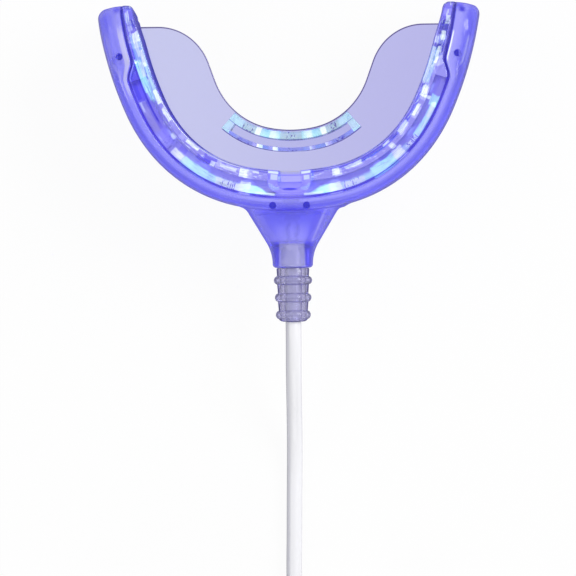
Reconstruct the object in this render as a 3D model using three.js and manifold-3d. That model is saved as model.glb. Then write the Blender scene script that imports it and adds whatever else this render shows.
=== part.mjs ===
// LED teeth whitening mouth tray with its USB lead. Millimetres, +Z up.
//
// The tray is a curved wall that stands between lips and teeth, with a bite plate across it halfway up.
// It is worked out in the arch's own frame: the origin is the middle of the wall's outer edge, halfway
// up; +X is to the right, +Y runs along the arms to the back of the mouth, and the stem with its cable
// points along -Y. A place on the wall is given by its distance along the outer edge from the middle,
// by its inset from that edge towards the teeth, and by its height. At the end the whole group is moved
// so that the tray, without its cable, stands on z = 0 with the origin in the middle of its base.

import * as THREE from 'three';
import { mergeVertices } from 'three/addons/utils/BufferGeometryUtils.js';
import Module from 'manifold-3d';

const wasm = await Module();
wasm.setup();
const UPWARDS = new THREE.Vector3(0, 0, 1);

// Clearances and cuts
const GAP = 0.3; // between two pieces that seat on each other
const OVERRUN = 1; // how far a cutter runs past the face that it cuts
const MERGE_DISTANCE = 1e-4;

// The wall's outer edge in plan, from the middle to an arm's tip: arcs that run on from one another
const FRONT_RADIUS = 50;
const FRONT_LENGTH = 9.2;
const CORNER_RADIUS = 29;
const CORNER_LENGTH = 22.2;
const BEND_RADIUS = 34;
const BEND_LENGTH = 7;
const ARM_RADIUS = 71;
const ARM_LENGTH = 20.4;
const ARCH_STEP = 2.6; // longest facet along the arch

// The wall's rim, which the two shells make
const WALL_HEIGHT = 26;
const RIM_FRONT = 2.35; // the rim's thickness in front, before the arms and on the arms
const RIM_SIDE = 2.75;
const RIM_ARM = 4.6;
const RIM_STEP_LENGTH = 4;
const RIM_ARM_REACH = 14.8; // from the tip back to where the rim thickens
const WAIST_DEPTH = 0.7; // how far the outer face draws in at mid height, for the lips
const NOSE_HEIGHT = 3.2; // the rounded edge of the rim
const NOSE_WIDTH_SHARE = 0.66;
const TIP_DROP_LENGTH = 6; // the arms' tips are rounded in height as well
const TIP_DROP = 5;
const TIP_CORNER_SHARE = 0.46; // of the rim's thickness on the arms
const TIP_INNER_CORNER_SHARE = 0.78; // of the light guide's thickness on the arms

// Locating pins on the lower shell
const PIN_RADIUS = 0.62;
const PIN_HEIGHT = 2;
const STEM_PIN_SPREAD = 3.2;
const STEM_PIN_INSET_SHARE = 0.45;
const ARM_PIN_REACH = 9.6; // from the arm's tip
const ARM_PIN_INSET_SHARE = 0.58;
const PIN_MARK_RADIUS = 0.6; // the round recess in the rim over each pin
const PIN_MARK_DEPTH = 1.4;

// The light strip: a flexible board that stands behind the rim, with its lights towards the teeth
const BOARD_THICKNESS = 0.4;
const BOARD_HEIGHT = 14;
const LED_WIDTH = 3.5;
const LED_RISE = 2.8;
const LED_DEPTH = 1.6;
const LED_WINDOW_RADIUS = 1.15;
const LED_WINDOW_DEPTH = 0.3;
const LED_MARK = 0.6; // the clipped corner that shows which way round it goes
const LED_SEAT = 0.15; // solder under the package
const LED_FRONT_GAP = 0.35;
const LED_ROW_HEIGHT = 4.2;
const LED_PLACE_SHARES = [0.21, 0.455, 0.7, 0.945]; // of the board's half length
const RESISTOR_SIZE = { width: 3.2, rise: 1.6, depth: 0.6 };
const RESISTOR_PLACE_SHARES = [0.1, 0.33]; // of the board's half length

// The light guide, a clear wall whose inner face looks at the teeth
const INNER_WALL = 2.05; // clear wall between the lights' chamber and the teeth, at the sides
const GUIDE_BEVEL = 0.45;
const GROOVE_DEPTH = 0.8;
const FRENUM_DEPTH = 3.2;
const FRENUM_TOP = { halfWidth: 4.05, close: 3.3, corner: 2.4 };
const FRENUM_FLOOR = { halfWidth: 2.25, close: 4.4, corner: 0.8 };

// The mouth tray: the bite plate's inner edge in plan, from the middle to the lobe's far end. It is
// drawn with these arcs, and then stretched a little to end where the arm lets it.
const PLATE_FRONT_WIDTH = 8.09; // from the wall to the inner edge, in the middle
const LOBE_LAND = 3.42; // from the lobe's round to the plate's far corner
const EDGE_FRONT_RADIUS = 21.5;
const EDGE_FRONT_TURN = THREE.MathUtils.degToRad(12);
const EDGE_SIDE_RADIUS = 13.7;
const EDGE_SIDE_TURN = THREE.MathUtils.degToRad(57.5);
const EDGE_STRAIGHT = 3.5;
const LOBE_RADIUS = 10.3;
const EDGE_STEP = 1.4; // longest facet along the inner edge
const PLATE_ARM_REACH = 3.8; // from the arm's tip back to the plate's far end, along the wall
const PLATE_THICKNESS = 2;
const PLATE_ROUND = 0.6;
const RIDGE_REACH = 11.3; // half length along the inner edge
const RIDGE_TONGUE_SLOPE = 1.98; // widths in plan: sloped back, flat top and steep front
const RIDGE_TOP = 1.51;
const RIDGE_FRONT_SLOPE = 0.75;
const RIDGE_HEIGHT = 2.6;
const RIDGE_END_SLOPE = 1.3;
const RIDGE_SINK = 0.4;
const RIDGE_FOOT = 0.2;

// The stem's outline in plan, from the wall down to its end
const FLARE_START = 10; // distance along the outer edge
const FILLET_RADIUS = 2.2;
const FLARE_ANGLE = THREE.MathUtils.degToRad(31); // from the stem's axis
const FLARE_BLEND_RADIUS = 8;
const COLLAR_WALL = 1.35;
const STEM_END_BEVEL = 0.7;
const STEM_HEIGHT_SHARE = 1.3; // how much higher the stem grows as it grows wider
const STEM_WALL = 2;
const STEM_ROOT_SINK = 0.9; // how deep the stem's root is sunk in the wall
const COLLAR_LENGTH = 4.3;
const STEM_SIDES = 24;

// The connector block and the two wires inside the stem
const CONNECTOR = { width: 3, rise: 2.6, length: 3.7, latchWidth: 1.6, latchRise: 0.35 };
const LEAD_RADIUS = 0.4;
const LEAD_SPACING = 1.25;
const LEAD_BOW = 0.45;
const SHEATH_PAST_HEAD = 0.7;

// The strain relief, turned about the cable
const NECK_RADIUS = 2.2;
const HEAD_RADIUS = 3.25;
const HEAD_THICKNESS = 0.6;
const BOOT_START_RADIUS = 3.03;
const BOOT_END_RADIUS = 2.6;
const BOOT_BORE_GAP = 0.2;
const RING_COUNT = 3;
const FIRST_RING = 2.1;
const RING_PITCH = 3.3;
const RING_WIDTH = 1.56;
const RING_RISE_SHARE = 0.235; // of the boot's radius there
const END_LAND = 1.05;
const BOOT_SIDES = 28;

// The cable, 3 mm across. Its route is a list chosen by hand, from the middle of the boot's end: straight
// out, down under its own weight to the table, and along it.
const CABLE_RADIUS = 1.5;
const CABLE_SIDES = 8;
const CABLE_FACET = 4.4;
const CABLE_ROUTE = [
  [0, -0.3, 0], [0, -4, -0.15], [-0.1, -9, -1.6], [-0.2, -14, -4.5], [-0.3, -19, -7.8], [-0.4, -24, -10.3],
  [-0.5, -29, -11.4], [-0.6, -35, -11.4], [-0.7, -42, -11.4], [-0.8, -48, -11.35], [-0.8, -54, -11.1],
  [-0.8, -60, -10.6], [-0.8, -65, -10.3], [-0.8, -70, -10.25],
];
// The coil of the length that isn't seen: loops in layers that spiral in and out again by turns
const COIL_START = [-0.8, -73.3, -10.25]; // where the first loop begins, heading along -Y
const COIL_LOOPS = 8;
const COIL_LAYERS = 4;
const COIL_OUTER_RADIUS = 20;
const COIL_PITCH = 3.5; // from one turn to the next, and from one layer to the next
const COIL_STEPS = 24; // per loop
const COIL_SIDES = 6;
const COIL_END_STRAIGHT = 3;
const TIE_THICKNESS = 0.8;
const TIE_WIDTH = 5;
const TIE_GAP = 0.45;
const TIE_CORNER = 2.2;
// From the coil's end down to the plug, from the middle of the boot's end like the route above
const TAIL_ROUTE = [
  [-0.8, -76.6, 0.25], [-0.7, -81, -0.3], [-0.2, -86, -1.8], [0.9, -92, -4.1], [4, -98, -6.5],
  [9.4, -102.4, -8.2], [15.6, -102.6, -9], [20.8, -99, -9.2], [23.5, -93.6, -9.2], [24.2, -88.5, -9.2],
];

// The plug, a plain USB-A
const PLUG_COVER = { width: 15, height: 7.6, length: 17, corner: 2.2, bevel: 0.8 };
const PLUG_BOOT = { length: 5, startRadius: 2.1, endRadius: 3 };
const PLUG_SHELL = { width: 12, height: 4.5, length: 12, wall: 0.35, corner: 0.5 };
const PLUG_WINDOW = { width: 2.4, length: 2, fromEnd: 5.2, spacing: 5.2 };
const PLUG_TONGUE = { height: 1.9, gap: 0.35, short: 0.6 };
const CONTACT = { count: 4, width: 1, thickness: 0.2, length: 7.2, pitch: 2.2, setBack: 1.2 };

const PALETTE = {
  shell: { color: 0x7d78f0, roughness: 0.2, metalness: 0, transparent: true, opacity: 0.6 },
  guide: { color: 0xbfd8fb, roughness: 0.06, metalness: 0, transparent: true, opacity: 0.4 },
  tray: { color: 0xc2c2ea, roughness: 0.25, metalness: 0, transparent: true, opacity: 0.55 },
  board: { color: 0xe9edf5, roughness: 0.55, metalness: 0 },
  led: { color: 0xf6fbff, roughness: 0.3, metalness: 0, emissive: 0x6fd8ff },
  resistor: { color: 0x3a3850, roughness: 0.4, metalness: 0 },
  connector: { color: 0xe4e2ee, roughness: 0.5, metalness: 0 },
  positive: { color: 0xc9c4f2, roughness: 0.45, metalness: 0 },
  negative: { color: 0xa9a2e6, roughness: 0.45, metalness: 0 },
  boot: { color: 0xa9a4d4, roughness: 0.45, metalness: 0, transparent: true, opacity: 0.7 },
  cable: { color: 0xf2f2f6, roughness: 0.4, metalness: 0 },
  tie: { color: 0xd8d8de, roughness: 0.7, metalness: 0 },
  steel: { color: 0xc9cbd0, roughness: 0.25, metalness: 1 },
  gold: { color: 0xd9b45a, roughness: 0.25, metalness: 1 },
};
const materials = Object.fromEntries(
  Object.entries(PALETTE).map(([name, look]) => [name, new THREE.MeshStandardMaterial(look)]),
);

// Plane curves of arcs and straight runs, each of which starts where and as the last one ended. A run is
// a length and a radius: Infinity is straight, and a negative radius turns to the right.
class Track {
  constructor(x, y, heading, runs) {
    this.start = { x, y, heading };
    this.runs = runs;
    this.length = runs.reduce((sum, run) => sum + run.length, 0);
  }

  at(distance) {
    let { x, y, heading } = this.start;
    let left = distance;
    for (const [index, { length, radius }] of this.runs.entries()) {
      const last = index === this.runs.length - 1;
      const run = last ? left : Math.min(left, length);
      if (Number.isFinite(radius)) {
        const turned = heading + run / radius;
        x += radius * (Math.sin(turned) - Math.sin(heading));
        y += radius * (Math.cos(heading) - Math.cos(turned));
        heading = turned;
      } else {
        x += run * Math.cos(heading);
        y += run * Math.sin(heading);
      }
      left -= run;
      if (left <= 0) break;
    }
    return { x, y, heading };
  }

  // Distances along the track, its joints among them, no more than a step apart
  stations(step) {
    const distances = [0];
    let reached = 0;
    for (const { length } of this.runs) {
      const count = Math.ceil(length / step);
      for (let i = 1; i <= count; i += 1) distances.push(reached + (length * i) / count);
      reached += length;
    }
    return distances;
  }
}

const arc = (radius, turn) => ({ radius, length: Math.abs(radius * turn) });
const straight = (length) => ({ radius: Infinity, length });

// Geometry helpers

// A closed mesh with its faces pointing out, whichever way round it was wound
function closed(geometry) {
  const position = geometry.attributes.position;
  const index = geometry.index.array;
  const [a, b, c] = [new THREE.Vector3(), new THREE.Vector3(), new THREE.Vector3()];
  let volume = 0;
  for (let i = 0; i < index.length; i += 3) {
    a.fromBufferAttribute(position, index[i]);
    b.fromBufferAttribute(position, index[i + 1]);
    c.fromBufferAttribute(position, index[i + 2]);
    volume += a.dot(b.cross(c));
  }
  if (volume < 0) {
    for (let i = 0; i < index.length; i += 3) [index[i], index[i + 1]] = [index[i + 1], index[i]];
  }
  return geometry;
}

// A solid through rings of points with the same number of points each. The flat outlines are the first
// and last ring in their own planes, which the end caps are cut from.
function loft(rings, firstFlat, lastFlat) {
  const count = rings[0].length;
  const points = rings.flat();
  const index = [];
  for (let ring = 0; ring + 1 < rings.length; ring += 1) {
    for (let i = 0; i < count; i += 1) {
      const a = ring * count + i;
      const b = ring * count + ((i + 1) % count);
      index.push(a, b, b + count, a, b + count, a + count);
    }
  }
  const cap = (flat, offset, flip) => {
    for (const [a, b, c] of THREE.ShapeUtils.triangulateShape(flat, [])) {
      index.push(offset + a, offset + (flip ? c : b), offset + (flip ? b : c));
    }
  };
  const clockwise = THREE.ShapeUtils.isClockWise(firstFlat);
  cap(firstFlat, 0, !clockwise);
  cap(lastFlat, points.length - count, clockwise);
  const geometry = new THREE.BufferGeometry().setFromPoints(points);
  geometry.setIndex(index);
  return closed(geometry);
}

// The same surface without normals and seams, closed up and facing outwards
function tidy(geometry) {
  const bare = geometry.clone();
  bare.deleteAttribute('normal');
  bare.deleteAttribute('uv');
  return closed(mergeVertices(bare, MERGE_DISTANCE));
}

function solidOf(geometry) {
  const merged = tidy(geometry);
  return new wasm.Manifold(new wasm.Mesh({
    numProp: 3,
    vertProperties: merged.attributes.position.array,
    triVerts: new Uint32Array(merged.index.array),
  }));
}

function geometryOf(solid) {
  const mesh = solid.getMesh();
  const geometry = new THREE.BufferGeometry();
  geometry.setAttribute('position', new THREE.BufferAttribute(mesh.vertProperties, mesh.numProp));
  geometry.setIndex(new THREE.BufferAttribute(mesh.triVerts, 1));
  return geometry;
}

// Boolean work on geometries
const join = (first, ...others) => geometryOf(others.reduce((sum, one) => sum.add(solidOf(one)), solidOf(first)));
const cut = (first, ...others) => geometryOf(others.reduce((rest, one) => rest.subtract(solidOf(one)), solidOf(first)));

const mirroredDown = (geometry) => closed(geometry.clone().scale(1, 1, -1));
const post = (radius, bottom, top, x, y) => new THREE.CylinderGeometry(radius, radius, top - bottom, 16)
  .rotateX(Math.PI / 2)
  .translate(x, y, (top + bottom) / 2);
const block = (width, length, rise, x, y, z) => new THREE.BoxGeometry(width, length, rise).translate(x, y, z);

// The wall

const arch = new Track(0, 0, 0, [
  { radius: FRONT_RADIUS, length: FRONT_LENGTH },
  { radius: CORNER_RADIUS, length: CORNER_LENGTH },
  { radius: BEND_RADIUS, length: BEND_LENGTH },
  { radius: ARM_RADIUS, length: ARM_LENGTH },
]);
const ARCH_LENGTH = arch.length; // half of the whole, from the middle to a tip
const RIM_STEP_PLACE = ARCH_LENGTH - RIM_ARM_REACH;

// Insets of what the wall holds, worked out from the rim inwards
const BOARD_INSET = GAP; // behind the rim
const LED_INSET = BOARD_INSET + BOARD_THICKNESS + LED_SEAT;
const CHAMBER_INSET = RIM_SIDE + LED_INSET + LED_DEPTH + LED_FRONT_GAP;
const WALL = CHAMBER_INSET + INNER_WALL;
const GUIDE_ARM = WALL - RIM_ARM - GAP;
const TIP_OUTER_CORNER = RIM_ARM * TIP_CORNER_SHARE;
const TIP_INNER_CORNER = GUIDE_ARM * TIP_INNER_CORNER_SHARE;

// A point on the wall; the left half mirrors the right one
function wallPoint(distance, inset, z) {
  const side = distance < 0 ? -1 : 1;
  const { x, y, heading } = arch.at(Math.abs(distance));
  return new THREE.Vector3(side * (x - inset * Math.sin(heading)), y + inset * Math.cos(heading), z);
}

const wallHeading = (distance) => Math.sign(distance) * arch.at(Math.abs(distance)).heading;

// How much a rounded end has taken off at a distance from that end: nothing, and then a quarter round
function roundOff(toEnd, length, depth) {
  if (toEnd >= length) return 0;
  const along = 1 - toEnd / length;
  return depth * (1 - Math.sqrt(1 - along * along));
}

function wallLimits(distance) {
  const toTip = ARCH_LENGTH - Math.abs(distance);
  return {
    outer: roundOff(toTip, TIP_OUTER_CORNER, TIP_OUTER_CORNER),
    inner: WALL - roundOff(toTip, TIP_INNER_CORNER, TIP_INNER_CORNER),
    half: WALL_HEIGHT / 2 - roundOff(toTip, TIP_DROP_LENGTH, TIP_DROP),
  };
}

// The rim's thickness: it grows a little towards the sides, and steps inwards where the arms begin
function rimInset(distance) {
  const reach = Math.abs(distance);
  const side = THREE.MathUtils.smoothstep(reach, 0, RIM_STEP_PLACE);
  const arm = THREE.MathUtils.smoothstep(reach, RIM_STEP_PLACE, RIM_STEP_PLACE + RIM_STEP_LENGTH);
  return RIM_FRONT + (RIM_SIDE - RIM_FRONT) * side + (RIM_ARM - RIM_SIDE) * arm;
}

// Distances along the arch, closer together in the rounded tips, and the same for every piece in the
// wall, so that their facets lie parallel
const TIP_STATIONS = 6;
const halfStations = arch.stations(ARCH_STEP).filter((distance) => distance < ARCH_LENGTH - TIP_DROP_LENGTH);
for (let i = 0; i <= TIP_STATIONS; i += 1) {
  const share = Math.sin((i / TIP_STATIONS) * (Math.PI / 2));
  halfStations.push(ARCH_LENGTH - TIP_DROP_LENGTH * (1 - share));
}

function stationsTo(reach) {
  const near = reach - ARCH_STEP / 4;
  const half = [...halfStations.filter((distance) => distance < near), reach];
  return [...half.slice(1).reverse().map((distance) => -distance), ...half];
}

// A solid whose outline, in insets and heights, is carried along the arch to a distance on each side
function sweepAlongArch(reach, outlineAt) {
  const distances = stationsTo(reach);
  const outlines = distances.map((distance) => outlineAt(distance));
  const rings = outlines.map((outline, i) => outline.map(([inset, z]) => wallPoint(distances[i], inset, z)));
  const flat = (outline) => outline.map(([inset, z]) => new THREE.Vector2(inset, z));
  return loft(rings, flat(outlines[0]), flat(outlines.at(-1)));
}

// A band of the wall with square edges
const band = (reach, from, to, bottom, top) => sweepAlongArch(reach, (distance) => {
  const [near, far] = [from(distance), to(distance)];
  return [[near, bottom], [far, bottom], [far, top], [near, top]];
});

// The stem, an oval funnel whose side is a track in plan

const stemRoot = arch.at(FLARE_START);
const STEM_END_RADIUS = NECK_RADIUS + GAP + COLLAR_WALL;
const stemFilletTurn = Math.PI / 2 - FLARE_ANGLE - stemRoot.heading;
const FLARE_RUN_X = stemRoot.x - STEM_END_RADIUS
  - FILLET_RADIUS * (Math.cos(FLARE_ANGLE) - Math.sin(stemRoot.heading))
  - FLARE_BLEND_RADIUS * (1 - Math.cos(FLARE_ANGLE));
const stemSide = new Track(stemRoot.x, stemRoot.y, Math.PI + stemRoot.heading, [
  arc(FILLET_RADIUS, stemFilletTurn),
  straight(FLARE_RUN_X / Math.sin(FLARE_ANGLE)),
  arc(FLARE_BLEND_RADIUS, FLARE_ANGLE),
]);
const STEM_BEVEL_START = stemSide.at(stemSide.length).y;
const STEM_END = STEM_BEVEL_START - STEM_END_BEVEL;
const POCKET_START = STEM_END + COLLAR_LENGTH;
const HEAD_BACK = STEM_END - GAP + COLLAR_LENGTH + GAP + HEAD_THICKNESS + GAP;
const POCKET_END = HEAD_BACK + GAP;
const CHAMBER_TOP = RIM_FRONT * STEM_PIN_INSET_SHARE - PIN_RADIUS - GAP - GAP;

const stemHalfHeight = (halfWidth) => (
  STEM_END_RADIUS + (halfWidth - STEM_END_RADIUS) * STEM_HEIGHT_SHARE
);

// The half width of the stem at a place on its axis
function stemHalfWidth(y) {
  let near = 0;
  let far = stemSide.length;
  while (far - near > MERGE_DISTANCE) {
    const middle = (near + far) / 2;
    if (stemSide.at(middle).y > y) near = middle;
    else far = middle;
  }
  return stemSide.at(near).x;
}

// A solid through ovals across the stem's axis, each given by its place, half width and half height.
// With the upper half alone, its flat side lies at mid height.
function stemLoft(ovals, upperOnly = false) {
  const sweep = upperOnly ? Math.PI : 2 * Math.PI;
  const count = upperOnly ? STEM_SIDES / 2 : STEM_SIDES;
  const flats = ovals.map(({ halfWidth, halfHeight }) => {
    const flat = [];
    for (let i = 0; i < (upperOnly ? count + 1 : count); i += 1) {
      const angle = (i * sweep) / count;
      const atRest = upperOnly && (i === 0 || i === count);
      flat.push(new THREE.Vector2(halfWidth * Math.cos(angle), atRest ? 0 : halfHeight * Math.sin(angle)));
    }
    return flat;
  });
  const rings = flats.map((flat, i) => flat.map((point) => new THREE.Vector3(point.x, ovals[i].y, point.y)));
  return loft(rings, flats[0], flats.at(-1));
}

function stemOvals() {
  const sunk = { y: stemRoot.y + STEM_ROOT_SINK, halfWidth: stemRoot.x + STEM_ROOT_SINK / 2 };
  const side = stemSide.stations(FILLET_RADIUS / 3)
    .filter((distance, i, all) => i % 2 === 0 || distance < all[6])
    .map((distance) => {
      const { x, y } = stemSide.at(distance);
      return { y, halfWidth: x };
    });
  const end = { y: STEM_END, halfWidth: STEM_END_RADIUS - STEM_END_BEVEL };
  const last = { y: STEM_BEVEL_START, halfWidth: STEM_END_RADIUS };
  return [sunk, ...side.filter(({ y }) => y > STEM_BEVEL_START + STEM_END_BEVEL), last, end]
    .map((oval) => ({ ...oval, halfHeight: stemHalfHeight(oval.halfWidth) }));
}

// The room inside the stem: a passage in from the light strip, the wires' chamber, the pocket for the
// strain relief's head and the collar that grips its neck
function stemHollow() {
  const ovals = [CHAMBER_TOP, (CHAMBER_TOP + POCKET_END) / 2, POCKET_END].map((y) => {
    const halfWidth = stemHalfWidth(y) - STEM_WALL;
    return { y, halfWidth, halfHeight: stemHalfHeight(stemHalfWidth(y)) - STEM_WALL };
  });
  const round = (radius, from, to) => stemLoft([from, to].map((y) => (
    { y, halfWidth: radius, halfHeight: radius }
  )));
  const passageWidth = CONNECTOR.width + 2 * GAP;
  const passageRise = CONNECTOR.rise + 2 * (CONNECTOR.latchRise + GAP);
  const passageTop = RIM_FRONT + OVERRUN;
  const passageBottom = CHAMBER_TOP - OVERRUN;
  const passage = block(
    passageWidth, passageTop - passageBottom, passageRise,
    0, (passageTop + passageBottom) / 2, 0,
  );
  const pocket = round(HEAD_RADIUS + GAP, POCKET_END + OVERRUN / 4, POCKET_START);
  const collar = round(NECK_RADIUS + GAP, POCKET_END, STEM_END - OVERRUN);
  return join(stemLoft(ovals), passage, pocket, collar);
}

// The two shells

function shellOutline(distance) {
  const { outer, half } = wallLimits(distance);
  const rim = rimInset(distance);
  const noseWidth = (rim - outer) * NOSE_WIDTH_SHARE;
  const noseStart = half - NOSE_HEIGHT;
  const outline = [];
  const waistSteps = 4;
  for (let i = 0; i < waistSteps; i += 1) {
    const rise = i / waistSteps;
    outline.push([outer + WAIST_DEPTH * (1 - rise * rise), noseStart * rise]);
  }
  const noseSteps = 5;
  for (let i = 0; i <= noseSteps; i += 1) {
    const angle = (i / noseSteps) * (Math.PI / 2);
    outline.push([outer + noseWidth * (1 - Math.cos(angle)), noseStart + NOSE_HEIGHT * Math.sin(angle)]);
  }
  outline.push([rim, half], [rim, 0]);
  return outline;
}

function pinPlaces() {
  const stemPinY = RIM_FRONT * STEM_PIN_INSET_SHARE;
  const places = [];
  for (const side of [-1, 1]) {
    places.push(new THREE.Vector3(side * STEM_PIN_SPREAD, stemPinY, 0));
    places.push(wallPoint(side * (ARCH_LENGTH - ARM_PIN_REACH), RIM_ARM * ARM_PIN_INSET_SHARE, 0));
  }
  return places;
}

function shellHalf() {
  const top = WALL_HEIGHT / 2;
  const rim = sweepAlongArch(ARCH_LENGTH, shellOutline);
  const marks = pinPlaces().map(({ x, y }) => post(PIN_MARK_RADIUS, top - PIN_MARK_DEPTH, top + OVERRUN, x, y));
  return cut(join(rim, stemLoft(stemOvals(), true)), stemHollow(), ...marks);
}

function upperShell() {
  const sockets = pinPlaces().map(({ x, y }) => post(PIN_RADIUS + GAP, -OVERRUN, PIN_HEIGHT + GAP, x, y));
  return cut(shellHalf(), ...sockets);
}

function lowerShell() {
  const pins = pinPlaces().map(({ x, y }) => post(PIN_RADIUS, -OVERRUN, PIN_HEIGHT, x, y));
  return join(mirroredDown(shellHalf()), ...pins);
}

// The light guide

function guideOutline(distance) {
  const { inner, half } = wallLimits(distance);
  const outer = rimInset(distance) + GAP;
  const bevel = Math.min(GUIDE_BEVEL, (inner - outer) / 3);
  return [
    [outer + bevel, -half], [inner - bevel, -half], [inner, bevel - half], [inner, half - bevel],
    [inner - bevel, half], [outer + bevel, half], [outer, half - bevel], [outer, bevel - half],
  ];
}

// Half of a rounded U in plan, open towards the teeth, then mirrored to the other side
function frenumOutline({ halfWidth, close, corner }) {
  const open = WALL + OVERRUN;
  const cornerSteps = 5;
  const right = [[halfWidth, open]];
  for (let i = 0; i <= cornerSteps; i += 1) {
    const angle = (i / cornerSteps) * (Math.PI / 2);
    right.push([
      halfWidth - corner * (1 - Math.cos(angle)),
      close + corner * (1 - Math.sin(angle)),
    ]);
  }
  const left = right.map(([x, y]) => [-x, y]).reverse();
  return [...right, ...left];
}

// The lip's frenum rests in a scoop whose sides slope in to a narrower floor
function frenumRelief() {
  const top = WALL_HEIGHT / 2;
  const levels = [[FRENUM_FLOOR, top - FRENUM_DEPTH], [FRENUM_TOP, top], [FRENUM_TOP, top + OVERRUN]];
  const outlines = levels.map(([size]) => frenumOutline(size));
  const rings = outlines.map((outline, i) => outline.map(([x, y]) => new THREE.Vector3(x, y, levels[i][1])));
  const flat = (outline) => outline.map(([x, y]) => new THREE.Vector2(x, y));
  return loft(rings, flat(outlines[0]), flat(outlines.at(-1)));
}

const CHAMBER_REACH = RIM_STEP_PLACE;
const CHAMBER_HALF = BOARD_HEIGHT / 2 + GAP;
const PLATE_REACH = ARCH_LENGTH - PLATE_ARM_REACH;
const PLATE_INSET = WALL - GROOVE_DEPTH + GAP;

function lightGuide() {
  const chamber = band(
    CHAMBER_REACH, (distance) => rimInset(distance) - OVERRUN, () => CHAMBER_INSET,
    -CHAMBER_HALF, CHAMBER_HALF,
  );
  const grooveHalf = PLATE_THICKNESS / 2 + GAP;
  const groove = band(
    PLATE_REACH + OVERRUN, () => WALL - GROOVE_DEPTH, () => WALL + OVERRUN, -grooveHalf, grooveHalf,
  );
  const relief = frenumRelief();
  return cut(sweepAlongArch(ARCH_LENGTH, guideOutline), chamber, groove, relief, mirroredDown(relief));
}

// The mouth tray

const plateEnd = wallPoint(PLATE_REACH, PLATE_INSET, 0);
const EDGE_FRONT_Y = WALL + PLATE_FRONT_WIDTH;
const EDGE_TURN = EDGE_FRONT_TURN + EDGE_SIDE_TURN;
const drawnEdge = new Track(0, 0, 0, [
  arc(EDGE_FRONT_RADIUS, EDGE_FRONT_TURN),
  arc(EDGE_SIDE_RADIUS, EDGE_SIDE_TURN),
  straight(EDGE_STRAIGHT),
  { radius: -LOBE_RADIUS, length: LOBE_RADIUS * EDGE_TURN },
]);
const drawnEnd = drawnEdge.at(drawnEdge.length);
const EDGE_STRETCH_X = (plateEnd.x - LOBE_LAND) / drawnEnd.x;
const EDGE_STRETCH_Y = (plateEnd.y - EDGE_FRONT_Y) / drawnEnd.y;

// A place on the inner edge, or beside it by a width towards the teeth
function edgePoint(distance, width) {
  const side = distance < 0 ? -1 : 1;
  const { x, y, heading } = drawnEdge.at(Math.abs(distance));
  const along = Math.atan2(EDGE_STRETCH_Y * Math.sin(heading), EDGE_STRETCH_X * Math.cos(heading));
  return new THREE.Vector2(
    side * (x * EDGE_STRETCH_X + width * Math.sin(along)),
    EDGE_FRONT_Y + y * EDGE_STRETCH_Y - width * Math.cos(along),
  );
}

function bitePlate() {
  const half = drawnEdge.stations(EDGE_STEP);
  const lobes = [...half.slice(1).reverse().map((distance) => -distance), ...half];
  const wall = stationsTo(PLATE_REACH).map((distance) => wallPoint(distance, PLATE_INSET, 0)).reverse();
  const outline = [
    ...lobes.map((distance) => edgePoint(distance, 0)),
    ...wall.map(({ x, y }) => new THREE.Vector2(x, y)),
  ];
  return new THREE.ExtrudeGeometry(new THREE.Shape(outline), {
    depth: PLATE_THICKNESS - 2 * PLATE_ROUND,
    bevelThickness: PLATE_ROUND,
    bevelSize: PLATE_ROUND,
    bevelOffset: -PLATE_ROUND,
    bevelSegments: 3,
  }).translate(0, 0, PLATE_ROUND - PLATE_THICKNESS / 2);
}

// The ridge behind the front teeth, a prism along the inner edge that sends light to their backs. Its
// outline is in widths from the inner edge towards the teeth, and it slopes down at both ends.
function ridge() {
  const foot = PLATE_THICKNESS / 2;
  const ends = [0, 0.35, 0.7, 1];
  const along = drawnEdge.stations(EDGE_STEP).filter((distance) => distance < RIDGE_REACH - RIDGE_END_SLOPE);
  const half = [
    ...along.map((distance) => ({ distance, grown: 1 })),
    ...ends.map((share) => ({ distance: RIDGE_REACH - RIDGE_END_SLOPE * (1 - share), grown: 1 - share * 0.94 })),
  ];
  const stations = [...half.slice(1).reverse().map((one) => ({ ...one, distance: -one.distance })), ...half];
  const topStart = RIDGE_TONGUE_SLOPE;
  const topEnd = topStart + RIDGE_TOP;
  const frontEnd = topEnd + RIDGE_FRONT_SLOPE;
  const outlines = stations.map(({ grown }) => [
    [RIDGE_FOOT, 0],
    [RIDGE_FOOT, foot - RIDGE_SINK],
    [RIDGE_FOOT + (topStart - RIDGE_FOOT) * grown, foot + RIDGE_HEIGHT * grown],
    [frontEnd - RIDGE_FRONT_SLOPE * grown, foot + RIDGE_HEIGHT * grown],
    [frontEnd, foot - RIDGE_SINK / 2],
    [frontEnd, 0],
  ]);
  const rings = outlines.map((outline, i) => outline.map(([width, z]) => {
    const { x, y } = edgePoint(stations[i].distance, width);
    return new THREE.Vector3(x, y, z);
  }));
  const flat = (outline) => outline.map(([width, z]) => new THREE.Vector2(width, z));
  return loft(rings, flat(outlines[0]), flat(outlines.at(-1)));
}

const mouthTray = () => join(bitePlate(), ridge(), mirroredDown(ridge()));

// The light strip

const BOARD_REACH = CHAMBER_REACH - GAP;

const ledBoard = () => band(
  BOARD_REACH,
  (distance) => rimInset(distance) + BOARD_INSET,
  (distance) => rimInset(distance) + BOARD_INSET + BOARD_THICKNESS,
  -BOARD_HEIGHT / 2, BOARD_HEIGHT / 2,
);

// A surface-mount light, lying on its back: its window looks along +Z and one corner is clipped
function ledPackage() {
  const [x, y] = [LED_WIDTH / 2, LED_RISE / 2];
  const outline = [[-x, -y], [x, -y], [x, y - LED_MARK], [x - LED_MARK, y], [-x, y]];
  const body = new THREE.ExtrudeGeometry(
    new THREE.Shape(outline.map(([u, v]) => new THREE.Vector2(u, v))),
    { depth: LED_DEPTH, bevelEnabled: false },
  );
  return cut(body, post(LED_WINDOW_RADIUS, LED_DEPTH - LED_WINDOW_DEPTH, LED_DEPTH + OVERRUN, 0, 0));
}

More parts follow.
